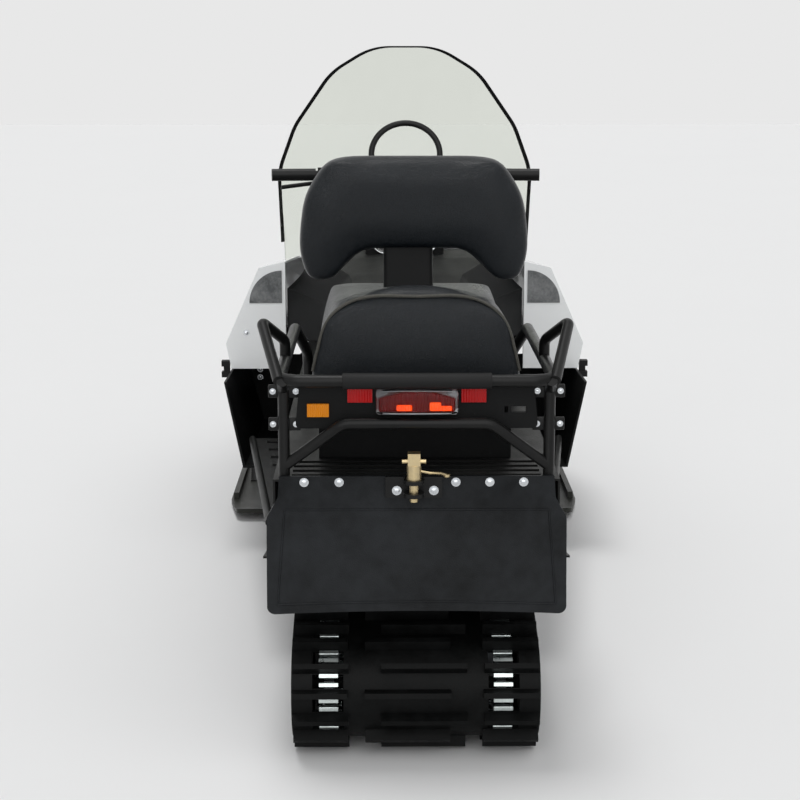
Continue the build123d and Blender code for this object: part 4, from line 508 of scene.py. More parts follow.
@dataclass(frozen=True)
class Studio:
    """Camera, floor, backdrop light and lamps, in metres and degrees.

    A lamp is its name, where it shines from seen from the machine, how wide it looks (the
    wider, the softer its shadows) and its strength.
    """

    eye: Point = (-4.490, 0.066, 1.409)
    pitch_down: float = 11.9
    yaw: float = -0.62
    lens: float = 73.7
    sensor: float = 36.0
    sight: float = 200.0
    floor_size: float = 60.0
    floor_mottle: float = 0.6
    floor_roughness: float = 0.9
    floor_specular: float = 0.1
    backdrop: Colour = (0.807, 0.807, 0.807)
    floor_colour: Colour = (0.80, 0.80, 0.80)
    floor_shade: Colour = (0.795, 0.795, 0.795)
    sky: Colour = (0.98, 0.99, 1.0)
    sky_strength: float = 0.33
    lamps: tuple[tuple[str, Point, float, float], ...] = (
        ("key", (0.12, 0.12, 1.0), 24.0, 1.30),
        ("second", (-0.5, -0.45, 1.0), 50.0, 0.50),
        ("fill", (-1.0, 0.05, 0.45), 60.0, 1.20),
    )

    def camera(self) -> None:
        """Place the camera and make it the scene's."""
        data = bpy.data.cameras.new("camera")
        data.lens = self.lens
        data.sensor_width = self.sensor
        data.clip_end = self.sight
        camera = stand("camera", data)
        tilt, turn = math.radians(self.pitch_down), math.radians(self.yaw)
        level = math.cos(tilt)
        forward = Vector((level * math.cos(turn), level * math.sin(turn), -math.sin(tilt)))
        camera.location = Vector(self.eye)
        camera.rotation_euler = forward.to_track_quat("-Z", "Y").to_euler()
        bpy.context.scene.camera = camera

    def world(self) -> None:
        """Light the scene from all round, with a plain pale backdrop for what the camera sees."""
        world = bpy.data.worlds.new("studio")
        world.use_nodes = True
        bpy.context.scene.world = world
        tree = world.node_tree
        tree.nodes.clear()
        sky = add_node(tree, "ShaderNodeBackground", {"Color": self.sky, "Strength": self.sky_strength})
        seen = add_node(tree, "ShaderNodeBackground", {"Color": self.backdrop, "Strength": 1.0})
        path = add_node(tree, "ShaderNodeLightPath").outputs
        through = math_node(tree, "MAXIMUM", path["Is Camera Ray"], path["Is Transmission Ray"])
        through = math_node(tree, "MAXIMUM", through, path["Is Glossy Ray"])
        inputs = {"Fac": through, 1: sky.outputs["Background"], 2: seen.outputs["Background"]}
        mix = add_node(tree, "ShaderNodeMixShader", inputs)
        add_node(tree, "ShaderNodeOutputWorld", {"Surface": mix.outputs["Shader"]})

    def floor(self) -> Piece:
        """Make the floor plane the machine stands on and return it."""
        bm = bmesh.new()
        bmesh.ops.create_grid(bm, x_segments=1, y_segments=1, size=self.floor_size / 2)
        floor = stand_mesh("floor", bm)
        material = bpy.data.materials.new("floor")
        material.use_nodes = True
        tree = material.node_tree
        shader = tree.nodes["Principled BSDF"].inputs
        feed(tree, shader["Roughness"], self.floor_roughness)
        feed(tree, shader["Specular IOR Level"], self.floor_specular)
        vector = add_node(tree, "ShaderNodeTexCoord").outputs["Object"]
        mottle = EFFECTS.place(tree, Effect.MOTTLE, vector, scale=self.floor_mottle)["Mask"]
        feed(tree, shader["Base Color"], mix_colour(tree, mottle, self.floor_colour, self.floor_shade))
        floor.data.materials.append(material)
        return floor

    def build(self) -> Piece:
        """Build the whole studio.
        """
        bpy.context.scene.view_settings.view_transform = "Standard"
        self.camera()
        self.world()
        for name, heading, spread, strength in self.lamps:
            data = bpy.data.lights.new(name, "SUN")
            data.angle = math.radians(spread)
            data.energy = strength
            stand(name, data).rotation_euler = (-Vector(heading)).to_track_quat("-Z", "Y").to_euler()
        floor = self.floor()
        LOG.info("studio built")
        return floor


def edges_of(verts: list) -> list:
    """Return the edges that meet any of the vertices."""
    return list({edge for vert in verts for edge in vert.link_edges})


def span(edge: bmesh.types.BMEdge, axis: int) -> float:
    """Return how far an edge runs along one axis."""
    return abs(edge.verts[0].co[axis] - edge.verts[1].co[axis])


def round_edges(bm: BMesh, edges: list, radius: float, segments: int) -> None:
    """Round edges off by a radius, with that many faces across each."""
    bmesh.ops.bevel(bm, geom=edges, offset=radius, segments=segments, profile=0.5, affect="EDGES",
                    material=-1)


def relax(bm: BMesh, rounds: int) -> None:
    """Even out a mesh, round after round."""
    for _ in range(rounds):
        bmesh.ops.smooth_vert(bm, verts=bm.verts, factor=0.5, use_axis_x=True, use_axis_y=True,
                              use_axis_z=True)


def rounded_box(bm: BMesh, centre: Point, size: Point, radius: float = 0.0, segments: int = 2,
                turn: Matrix | None = None) -> None:
    """Add a box with its edges rounded.

    Args:
        bm: The mesh it goes into.
        centre: Its middle.
        size: Its lengths along X, Y and Z.
        radius: How far its edges are rounded; 0 leaves them sharp.
        segments: Faces across each rounded edge.
        turn: How it is turned about its middle.
    """
    matrix = Matrix.Translation(centre) @ (turn or Matrix.Identity(4)) @ Matrix.Diagonal((*size, 1.0))
    made = bmesh.ops.create_cube(bm, size=1.0, matrix=matrix)
    if radius > 0:
        round_edges(bm, edges_of(made["verts"]), radius, segments)


def facing(direction: Point) -> Matrix:
    """Return the turn that points a piece's Z along a direction."""
    return Vector(direction).to_track_quat("Z", "Y").to_matrix().to_4x4()


def drum(bm: BMesh, centre: Point, direction: Point, radius: float, height: float, segments: int = 24,
         top: float | None = None) -> None:
    """Add a closed cylinder, or a cone frustum when the top radius is given.

    Args:
        bm: The mesh it goes into.
        centre: Its middle.
        direction: Where its axis points.
        radius: Its lower radius.
        height: Its length along the axis.
        segments: Sides round it.
        top: Its upper radius.
    """
    matrix = Matrix.Translation(centre) @ facing(direction)
    bmesh.ops.create_cone(bm, cap_ends=True, segments=segments, radius1=radius,
                          radius2=radius if top is None else top, depth=height, matrix=matrix)


def wire_end(bm: BMesh, reach: float, wire: float, segments: int) -> list:
    """Add the round end of a wire that is to be spun about Z and return its vertices."""
    matrix = Matrix.Translation((reach, 0, 0)) @ Matrix.Rotation(TURN / 4, 4, "X")
    return bmesh.ops.create_circle(bm, cap_ends=False, segments=segments, radius=wire, matrix=matrix)["verts"]


def bolt_head(bm: BMesh, foot: Point, direction: Point, radius: float) -> None:
    """Add a hexagon bolt head on its washer, standing on a surface.

    Args:
        bm: The mesh it goes into.
        foot: Where its axis meets the surface.
        direction: The surface's outward direction.
        radius: Radius of the hexagon's corners.
    """
    out = Vector(direction).normalized()
    base = Vector(foot)
    washer = 0.22 * radius
    drum(bm, base + out * washer / 2, out, 1.45 * radius, washer, 28)
    drum(bm, base + out * (washer + 0.35 * radius), out, radius, 0.7 * radius, 6)
    drum(bm, base + out * (washer + 0.76 * radius), out, 0.86 * radius, 0.12 * radius, 18, 0.6 * radius)


def pipe(bm: BMesh, points: list, radius: float, segments: int) -> None:
    """Add a round cord or tube along a line of points, each ring square to the path.

    Args:
        bm: The mesh it goes into; what is there already has no open edges.
        points: The path.
        radius: The tube's radius.
        segments: Sides round it.
    """
    path = [Vector(point) for point in points]
    steep = abs((path[1] - path[0]).normalized().z) >= 0.9
    side = Vector(ACROSS if steep else UP)
    ring, edges, old = [], [], None
    for before, point, after in zip([path[0], *path], path, [*path[1:], path[-1]]):
        heading = (after - before).normalized()
        side = (side - heading * side.dot(heading)).normalized()
        turn = Matrix((side.cross(heading), side, heading)).transposed().to_4x4()
        new = Matrix.Translation(point) @ turn
        if old is None:
            made = bmesh.ops.create_circle(bm, cap_ends=False, segments=segments, radius=radius, matrix=new)
            ring = made["verts"]
        else:
            made = bmesh.ops.extrude_edge_only(bm, edges=edges)
            ring = [item for item in made["geom"] if isinstance(item, bmesh.types.BMVert)]
            bmesh.ops.transform(bm, matrix=new @ old.inverted(), verts=ring)
        edges = [edge for edge in edges_of(ring) if all(vert in ring for vert in edge.verts)]
        old = new
    bmesh.ops.holes_fill(bm, edges=[edge for edge in bm.edges if edge.is_boundary], sides=0)


class Workshop:
    """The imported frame, with the ways every piece of the scene is finished."""

    def __init__(self, frame: dict) -> None:
        """Keep the frame.
        """
        self.nodes = frame["nodes"]
        self.slots = {part["node"]: part["material_slot"] for part in frame["record"]["subparts"]}
        self.trees: dict[str, BVHTree] = {}

    def seat(self, piece: Piece, like: str) -> None:
        """Let a piece ride on a CAD node's body."""
        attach(piece, self.nodes[like]["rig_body"])

    def smooth(self, bm: BMesh, sharp: float) -> None:
        """Shade a mesh smooth, but for edges that turn more than the given degrees."""
        limit = math.radians(sharp)
        for face in bm.faces:
            face.smooth = True
        for edge in bm.edges:
            edge.smooth = len(edge.link_faces) == 2 and edge.calc_face_angle(math.pi) < limit

    def finish(self, name: str, bm: BMesh, like: str, *finishes: Finish, sharp: float = 34.0,
               merge: bool = True) -> Piece:
        """Turn a mesh into a piece of the machine.

        Args:
            name: The piece's name.
            bm: Its mesh, in the row frame; it is freed.
            like: The CAD node whose body it shares.
            *finishes: Its finishes, in the order of its faces' material numbers.
            sharp: Edges that turn more than this many degrees stay sharp.
            merge: Whether touching points are merged and the normals made anew.

        Returns:
            The piece.
        """
        if merge:
            bmesh.ops.remove_doubles(bm, verts=bm.verts, dist=TOUCHING)
            bmesh.ops.recalc_face_normals(bm, faces=bm.faces)
        self.smooth(bm, sharp)
        piece = stand_mesh(name, bm)
        SURFACES.dress(piece, *finishes)
        self.seat(piece, like)
        LOG.info("%s: %d faces", name, len(piece.data.polygons))
        return piece

    def copy(self, node: str) -> BMesh:
        """Return a merged copy of a CAD node's mesh."""
        bm = bmesh.new()
        bm.from_mesh(self.nodes[node].data)
        bmesh.ops.remove_doubles(bm, verts=bm.verts, dist=TOUCHING)
        return bm

    def restyle(self, node: str, finish: Finish, sharp: float = 30.0) -> None:
        """Stand a smooth-shaded copy of a CAD node in its place.

        Args:
            node: The CAD node.
            finish: Its finish.
            sharp: Edges that turn more than this many degrees stay sharp.
        """
        piece = self.finish(f"{node}_dressed", self.copy(node), node, finish, sharp=sharp, merge=False)
        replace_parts(piece, node)

    def look(self, node: str, start: Point, heading: Point) -> tuple[Vector | None, Vector | None]:
        """Return where a ray first meets a CAD node and the outward direction there, or nothing."""
        if node not in self.trees:
            bm = self.copy(node)
            self.trees[node] = BVHTree.FromBMesh(bm)
            bm.free()
        along = Vector(heading).normalized()
        place, normal, _, _ = self.trees[node].ray_cast(Vector(start), along)
        if place is not None and normal.dot(along) >= 0:
            normal = -normal
        return place, normal

    def meet(self, node: str, start: Point, heading: Point) -> Vector:
        """Return where a ray first meets a CAD node; stop if it meets nothing.

        Args:
            node: The CAD node.
            start: A point outside it.
            heading: The direction to look in.

        Returns:
            The place.
        """
        place, _ = self.look(node, start, heading)
        if place is None:
            raise ValueError(f"{node} isn't met from {start}")
        return place


@dataclass(frozen=True)
class CushionPlan:
    """How one cushion is blown up inside its CAD solid, in metres."""

    node: str
    voxel: float
    inset: float
    cap: float
    rounds: int
    fill: float
    pressure: float = 4.0
    frames: int = 14
    settle: int = 6
    quality: int = 5
    bending: float = 2.0


class Cushion:
    """A padded piece, made from its CAD solid by a short cloth simulation."""

    def __init__(self, shop: Workshop, plan: CushionPlan, pinned: Callable[[Vector], bool]) -> None:
        """Keep the plan.

        Args:
            shop: The workshop.
            plan: The cushion's sizes.
            pinned: Tells whether a point lies on a seam or on what the cushion rests on.
        """
        self.shop = shop
        self.plan = plan
        self.pinned = pinned

    def shell(self) -> Piece:
        """Return the remeshed form, drawn in from the solid and rounded."""
        plan = self.plan
        piece = stand_mesh(f"{plan.node}_cover", self.shop.copy(plan.node))
        self.apply(piece, "REMESH", mode="VOXEL", voxel_size=plan.voxel)
        bm = bmesh.new()
        bm.from_mesh(piece.data)
        relax(bm, plan.rounds)
        bm.normal_update()
        moves = [vert.normal * -plan.inset for vert in bm.verts]
        for vert, move in zip(bm.verts, moves):
            vert.co += move
        relax(bm, 2)
        bm.to_mesh(piece.data)
        bm.free()
        return piece

    def apply(self, piece: Piece, kind: str, **settings) -> None:
        """Take a new modifier's result into the mesh and remove the modifier."""
        modifier = piece.modifiers.new(kind.lower(), kind)
        for name, value in settings.items():
            setattr(modifier, name, value)
        graph = bpy.context.evaluated_depsgraph_get()
        made = bpy.data.meshes.new_from_object(piece.evaluated_get(graph))
        piece.modifiers.remove(modifier)
        old = piece.data
        piece.data = made
        bpy.data.meshes.remove(old)

    def inflate(self, piece: Piece) -> None:
        """Blow the cover up between its seams, no further than the cap."""
        plan = self.plan
        start = [vert.co.copy() for vert in piece.data.vertices]
        group = piece.vertex_groups.new(name="seams")
        group.add([i for i, point in enumerate(start) if self.pinned(point)], 1.0, "REPLACE")
        cloth = piece.modifiers.new("cloth", "CLOTH")
        cloth.settings.quality = plan.quality
        cloth.settings.use_pressure = True
        cloth.settings.uniform_pressure_force = plan.pressure
        cloth.settings.effector_weights.gravity = 0.0
        cloth.settings.vertex_group_mass = group.name
        cloth.settings.bending_stiffness = plan.bending
        cloth.collision_settings.use_collision = False
        cloth.point_cache.frame_start = 1
        cloth.point_cache.frame_end = plan.frames
        scene = bpy.context.scene
        for frame_number in range(1, plan.frames + 1):
            scene.frame_set(frame_number)
        graph = bpy.context.evaluated_depsgraph_get()
        blown = [vert.co.copy() for vert in piece.evaluated_get(graph).data.vertices]
        piece.modifiers.remove(cloth)
        scene.frame_set(1)
        for vert, before, after in zip(piece.data.vertices, start, blown):
            move = after - before
            if move.length > plan.cap:
                move *= plan.cap / move.length
            vert.co = before + move
        piece.vertex_groups.remove(group)
        bm = bmesh.new()
        bm.from_mesh(piece.data)
        relax(bm, plan.settle)
        bm.to_mesh(piece.data)
        bm.free()

    def build(self, *finishes: Finish) -> Piece:
        """Make the cushion.

        Args:
            *finishes: Its finishes.

        Returns:
            The finished cushion, in its CAD solid's place.
        """
        plan = self.plan
        piece = self.shell()
        self.inflate(piece)
        self.apply(piece, "SUBSURF", levels=1, render_levels=1)
        for polygon in piece.data.polygons:
            polygon.use_smooth = True
        SURFACES.dress(piece, *finishes)
        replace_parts(piece, plan.node)
        self.shop.seat(piece, plan.node)
        LOG.info("%s blown up: %d faces", plan.node, len(piece.data.polygons))
        return piece


@dataclass
class SeatWork:
    """The stepped seat with its piped rear dome, and the backrest with its welt."""

    shop: Workshop
    piping: float = 0.0034
    piping_x: float = -1.322
    piping_sink: float = 0.3
    side_seam: float = 0.200
    step_x: float = -0.66
    step_z: float = 0.80
    front_base: float = 0.05
    rear_base_x: float = -0.69
    rear_base_z: float = 0.775
    near: float = 0.006
    close: float = 0.004
    welt_near: float = 0.005
    dome_base: float = 0.765
    dome_steps: int = 56
    dome_match: float = 0.998
    even_rounds: int = 4
    seat_plan: CushionPlan = CushionPlan("seat", 0.009, 0.0035, 0.006, 6, 0.8)
    back_plan: CushionPlan = CushionPlan("backrest", 0.006, 0.0015, 0.010, 22, 0.85, pressure=3.0, settle=24)

    def seat_pinned(self, point: Vector) -> bool:
        """Tell whether a point of the seat lies on its seams or its base."""
        low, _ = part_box("seat")
        on_front_base = point.z < low.z + self.front_base and point.x > self.step_x
        on_rear_base = point.z < self.rear_base_z and point.x < self.rear_base_x
        on_side_seam = abs(abs(point.y) - self.side_seam) < self.near and point.z < self.step_z
        on_step = abs(point.x - self.step_x) < self.close and point.z > self.step_z
        on_dome = abs(point.x - self.piping_x) < self.near
        return on_front_base or on_rear_base or on_side_seam or on_step or on_dome

    def back_pinned(self, point: Vector) -> bool:
        """Tell whether a point of the backrest lies on the welt round its middle."""
        low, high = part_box("backrest")
        return abs(point.x - (low.x + high.x) / 2) < self.welt_near

    def dome_line(self, piece: Piece) -> list[Vector]:
        """Return the outline of the seat's rear where it is piped, measured on the cover."""
        slab = [vert.co for vert in piece.data.vertices
                if abs(vert.co.x - self.piping_x) < self.near and vert.co.z > self.dome_base]
        centre = Vector((self.piping_x, 0.0, self.step_z))
        points = []
        for step in range(self.dome_steps + 1):
            angle = math.pi * step / self.dome_steps
            heading = Vector((0.0, math.cos(angle), math.sin(angle)))
            reach = 0.0
            for point in slab:
                offset = Vector((0.0, point.y, point.z - centre.z))
                if offset.length > 0 and offset.normalized().dot(heading) > self.dome_match:
                    reach = max(reach, offset.length)
            if reach > 0:
                points.append(centre + heading * (reach - self.piping_sink * self.piping))
        return points

    def smooth_line(self, line: list[Vector]) -> list[Vector]:
        """Return the line with its small steps evened out."""
        for _ in range(self.even_rounds):
            inner = [(a + 2 * b + c) / 4 for a, b, c in zip(line, line[1:], line[2:])]
            line = [line[0], *inner, line[-1]]
        return line

    def build(self) -> None:
        """Make the seat, its piping and the backrest."""
        seat = Cushion(self.shop, self.seat_plan, self.seat_pinned).build(Surfaces.vinyl)
        bm = bmesh.new()
        pipe(bm, self.smooth_line(self.dome_line(seat)), self.piping, 10)
        # The piping takes the pale vinyl, painted sheen along the dome's rim.
        self.shop.finish("seat_piping", bm, "seat", Surfaces.piping_sheen_vinyl)
        Cushion(self.shop, self.back_plan, self.back_pinned).build(Surfaces.vinyl)


class TrackLoop:
    """The closed line of the track's belt round its four circles, in metres along X and Z."""

    circles = ((-1.275, 0.131, 0.105), (-0.060, 0.246, 0.220), (0.250, 0.366, 0.080), (-0.520, 0.405, 0.065))

    def __init__(self) -> None:
        """Work out the straights and arcs of the line."""
        self.runs: list[tuple] = []
        count = len(self.circles)
        normals = [self.outward(self.circles[i], self.circles[(i + 1) % count]) for i in range(count)]
        place = 0.0
        for i, (x, z, radius) in enumerate(self.circles):
            start = math.atan2(normals[i - 1][1], normals[i - 1][0])
            end = math.atan2(normals[i][1], normals[i][0])
            sweep = (end - start) % TURN
            self.runs.append(("arc", place, radius * sweep, (x, z, radius, start)))
            place += radius * sweep
            nx, nz = normals[i]
            bx, bz, other = self.circles[(i + 1) % count]
            first = (x + radius * nx, z + radius * nz)
            last = (bx + other * nx, bz + other * nz)
            length = math.dist(first, last)
            self.runs.append(("line", place, length, (first, last, (nx, nz))))
            place += length
        self.length = place

    def outward(self, first: tuple, second: tuple) -> tuple[float, float]:
        """Return the outward direction of the straight between two circles."""
        dx, dz = second[0] - first[0], second[1] - first[1]
        gap = math.hypot(dx, dz)
        ux, uz = dx / gap, dz / gap
        cosine = (first[2] - second[2]) / gap
        sine = math.sqrt(1 - cosine * cosine)
        return (ux * cosine + uz * sine, uz * cosine - ux * sine)

    def place(self, along: float) -> tuple[Vector, Vector]:
        """Return the point and the outward direction at one distance along the line."""
        along %= self.length
        for kind, start, length, data in self.runs:
            if along <= start + length:
                break
        if kind == "arc":
            x, z, radius, angle = data
            turn = angle + (along - start) / radius
            out = Vector((math.cos(turn), 0.0, math.sin(turn)))
            return Vector((x, 0.0, z)) + radius * out, out
        (ax, az), (bx, bz), (nx, nz) = data
        share = (along - start) / length
        return Vector((ax + share * (bx - ax), 0.0, az + share * (bz - az))), Vector((nx, 0.0, nz))

    def measure(self, x: float, z: float) -> float:
        """Return the distance along the line of the place nearest to a point."""
        best = (1e9, 0.0)
        for kind, start, length, data in self.runs:
            if kind == "arc":
                cx, cz, radius, angle = data
                turn = (math.atan2(z - cz, x - cx) - angle) % TURN
                if radius * turn > length:
                    continue
                gap = abs(math.hypot(x - cx, z - cz) - radius)
                best = min(best, (gap, start + radius * turn))
            else:
                (ax, az), (bx, bz), _ = data
                share = ((x - ax) * (bx - ax) + (z - az) * (bz - az)) / (length * length)
                if 0 <= share <= 1:
                    gap = math.hypot(x - ax - share * (bx - ax), z - az - share * (bz - az))
                    best = min(best, (gap, start + share * length))
        return best[1]


@dataclass
class TrackWork:
    """The steel clips that wrap the belt between its drive windows."""

    shop: Workshop
    pitches: int = 78
    window_edge: float = 0.2095
    window_centre: float = 0.1765
    clip_width: float = 0.040
    clip_length: float = 0.0095
    clip_shift: float = 0.0155
    clip_thickness: float = 0.0125
    clip_edge: float = 0.0012
    edge_near: float = 0.0001

    def first_window(self, loop: TrackLoop) -> float:
        """Return how far along the loop a window's middle lies, read from the CAD track."""
        pitch = loop.length / self.pitches
        sines = cosines = 0.0
        for vert in self.shop.nodes["track"].data.vertices:
            if abs(vert.co.y - self.window_edge) < self.edge_near:
                angle = TURN * loop.measure(vert.co.x, vert.co.z) / pitch
                sines += math.sin(angle)
                cosines += math.cos(angle)
        return math.atan2(sines, cosines) / TURN * pitch

    def build(self) -> None:
        """Make the clips and dress the track."""
        loop = TrackLoop()
        pitch = loop.length / self.pitches
        start = self.first_window(loop)
        bm = bmesh.new()
        for row in range(self.pitches):
            for shift in (-self.clip_shift, self.clip_shift):
                point, out = loop.place(start + row * pitch + shift)
                along = Vector((-out.z, 0.0, out.x))
                turn = Matrix((along, Vector((0, 1, 0)), out)).transposed().to_4x4()
                size = (self.clip_length, self.clip_width, self.clip_thickness)
                for side in (-1, 1):
                    middle = point + Vector((0.0, side * self.window_centre, 0.0))
                    rounded_box(bm, middle, size, self.clip_edge, 1, turn)
        self.shop.finish("track_clips", bm, "track", Surfaces.clip_steel)
        self.shop.restyle("track", Surfaces.track_rubber, 24.0)


def rear_bolts(shop: Workshop, name: str, node: str, spots: list[tuple[float, float]], radius: float) -> None:
    """Set plated bolts on a CAD node's rear face.

    Args:
        shop: The workshop.
        name: The piece's name.
        node: The CAD node.
        spots: Where each bolt sits, along Y and Z.
        radius: Radius of the hexagons' corners.
    """
    bm = bmesh.new()
    for y, z in spots:
        bolt_head(bm, shop.meet(node, (BEHIND, y, z), FORWARD), REARWARD, radius)
    shop.finish(name, bm, node, Surfaces.plated)


@dataclass
class FlapWork:
    """The snow flap: its raised border, its worn lower edge and the bolts along its top."""

    shop: Workshop
    border: float = 0.020
    bead: float = 0.0022
    low: float = 0.341
    high: float = 0.541
    half_low: float = 0.272
    half_high: float = 0.258
    cad_low: float = 0.318
    bow: float = 0.006
    cuts: int = 15
    steps: int = 24
    bolt_radius: float = 0.0062
    bolt_rows: tuple[float, ...] = (0.219, 0.151, -0.076, -0.142, -0.208)
    bolt_height: float = 0.5965

    def trim(self) -> None:
        """Stand a copy for the flap, its worn lower edge a little higher and bowed."""
        bm = self.shop.copy("flap")
        across = [edge for edge in bm.edges if span(edge, 1) > 0.1]
        bmesh.ops.subdivide_edges(bm, edges=across, cuts=self.cuts)
        for vert in bm.verts:
            vert.co.z += self.lift(vert.co.y, vert.co.z)
        piece = self.shop.finish("flap_dressed", bm, "flap", Surfaces.flap_rubber, sharp=40.0, merge=False)
        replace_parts(piece, "flap")

    def lift(self, y: float, z: float) -> float:
        """Return how far a place of the solid's flap moves up on the worn one."""
        share = max(0.0, self.high - z) / (self.high - self.cad_low)
        return share * (self.low - self.cad_low + self.bow * (0.5 - (y / self.half_low) ** 2))

    def line(self, first: tuple[float, float], last: tuple[float, float]) -> list[Vector]:
        """Return points along a straight line laid on the flap's rear face."""
        points = []
        for step in range(self.steps + 1):
            share = step / self.steps
            y = first[0] + share * (last[0] - first[0])
            z = first[1] + share * (last[1] - first[1])
            place = self.shop.meet("flap", (BEHIND, y, z), FORWARD)
            points.append(place + Vector((0, 0, self.lift(y, place.z))))
        return points

    def build(self) -> None:
        """Dress the flap and add its beads and bolts."""
        self.trim()
        bm = bmesh.new()
        low = self.cad_low + self.border
        corners = [(-self.half_high, self.high), (-self.half_low, low), (self.half_low, low),
                   (self.half_high, self.high)]
        for first, last in zip(corners, corners[1:] + corners[:1]):
            pipe(bm, self.line(first, last), self.bead, 8)
        self.shop.finish("flap_border", bm, "flap", Surfaces.flap_rubber, sharp=60.0)
        spots = [(y, self.bolt_height) for y in self.bolt_rows]
        rear_bolts(self.shop, "flap_bolts", "flap", spots, self.bolt_radius)


@dataclass
class TailWork:
    """The tail lamp with its clear lens over lit red, the reflectors and the panel they sit on."""

    shop: Workshop
    half: float = 0.079
    low: float = 0.733
    high: float = 0.781
    face: float = -1.4315
    foot: float = -1.3925
    bow: float = 0.006
    skin: float = 0.005
    arch: float = 0.016
    lit: tuple[tuple[float, float, float], ...] = ((0.0245, 0.030, 0.012), (-0.0350, 0.022, 0.017),
                                                   (-0.0560, 0.022, 0.010))

    def lens(self, bm: BMesh, centre: Point, size: Point, radius: float) -> None:
        """Add a lens block whose rear face bows outwards along its length.

        Args:
            bm: The mesh it goes into.
            centre: Its middle.
            size: Its lengths along X, Y and Z.
            radius: How far its edges are rounded.
        """
        matrix = Matrix.Translation(centre) @ Matrix.Diagonal((*size, 1.0))
        made = bmesh.ops.create_cube(bm, size=1.0, matrix=matrix)
        long_edges = [edge for edge in edges_of(made["verts"]) if span(edge, 1) > size[1] / 2]
        bmesh.ops.subdivide_edges(bm, edges=long_edges, cuts=11, use_grid_fill=True)
        verts = list(bm.verts)
        for vert in verts:
            if vert.co.x < centre[0]:
                share = (vert.co.y - centre[1]) / (size[1] / 2)
                vert.co.x += self.bow * share * share
        edges = [edge for edge in edges_of(verts)
                 if len(edge.link_faces) == 2 and edge.calc_face_angle(0.0) > 1.0]
        round_edges(bm, edges, radius, 4)

    def build(self) -> None:
        """Make the lamp and dress its neighbours."""
        shop, middle = self.shop, (self.low + self.high) / 2
        depth, wide, height = self.foot - self.face, 2 * self.half, self.high - self.low
        bm = bmesh.new()
        self.lens(bm, ((self.face + self.foot) / 2, 0.0, middle), (depth, wide, height), 0.007)
        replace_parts(shop.finish("tail_lamp_lens", bm, "tail_lamp", Surfaces.lamp_clear), "tail_lamp")
        bm = bmesh.new()
        rounded_box(bm, (self.foot - 0.0012, 0.0, middle), (0.0016, wide - 0.004, height - 0.004))
        rim = depth - 0.010
        for z in (self.low + 0.003, self.high - 0.003):
            rounded_box(bm, (self.foot - rim / 2, 0.0, z), (rim, wide - 0.026, 0.0022), 0.0008)
        shop.finish("tail_lamp_back", bm, "tail_lamp", Surfaces.alloy)
        bm = bmesh.new()
        inner = depth - 2.2 * self.skin
        size = (inner, wide - 2.4 * self.skin, height - 1.7 * self.skin)
        self.lens(bm, (self.foot - 0.001 - inner / 2, 0.0, middle + 0.0005), size, 0.004)
        for vert in bm.verts:
            if vert.co.z > middle:
                vert.co.z -= self.arch * (vert.co.y / self.half) ** 2
        shop.finish("tail_lamp_body", bm, "tail_lamp", Surfaces.lamp_red)
        bm = bmesh.new()
        for y, width, tall in self.lit:
            centre = (self.foot - 0.0015 - inner, y, self.low + 0.008 + tall / 2)
            rounded_box(bm, centre, (0.006, width, tall), 0.0028, 3)
        shop.finish("tail_lamp_lit", bm, "tail_lamp", Surfaces.lens_lit)
        # Both reflectors glow a little, painted light, though they are no lamps.
        shop.restyle("reflectors", Surfaces.lens_red)
        shop.restyle("amber_reflector", Surfaces.lens_amber)
        shop.restyle("lamp_panel", Surfaces.body_black)


@dataclass
class HitchWork:
    """The tow hitch: its bolts, its brass drop pin and the pin's keeper strap."""

    shop: Workshop
    bolts: tuple[tuple[float, float], ...] = ((0.039, 0.582), (-0.033, 0.582))
    bolt_radius: float = 0.0064
    lug: Point = (-1.4366, 0.006, 0.645)
    bare_from: float = 0.630
    strap: tuple[Point, ...] = ((-1.437, -0.004, 0.626), (-1.436, -0.024, 0.622), (-1.424, -0.045, 0.618),
                                (-1.411, -0.058, 0.6105))
    strap_radius: float = 0.0028

    def build(self) -> None:
        """Dress the hitch and add its bolts and strap."""
        self.shop.restyle("hitch", Surfaces.frame_paint)
        bm = self.shop.copy("hitch_pin")
        for face in bm.faces:
            face.material_index = int(face.calc_center_median().z < self.bare_from)
        pin = self.shop.finish("hitch_pin_dressed", bm, "hitch_pin", Surfaces.brass, Surfaces.frame_paint,
                               merge=False)
        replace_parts(pin, "hitch_pin")
        rear_bolts(self.shop, "hitch_bolts", "hitch", list(self.bolts), self.bolt_radius)
        bm = bmesh.new()
        pipe(bm, list(self.strap), self.strap_radius, 10)
        drum(bm, self.strap[-1], UP, 0.0065, 0.005, 18)
        drum(bm, self.lug, ACROSS, 0.0045, 0.046, 18)
        self.shop.finish("hitch_keeper", bm, "hitch_pin", Surfaces.brass)


@dataclass(frozen=True)
class CoilPlan:
    """A coil spring round a damper: its two ends and its sizes, in metres."""

    name: str
    node: str
    low: Point
    high: Point
    turns: int
    radius: float = 0.029
    wire: float = 0.0042
    steps_a_turn: int = 18


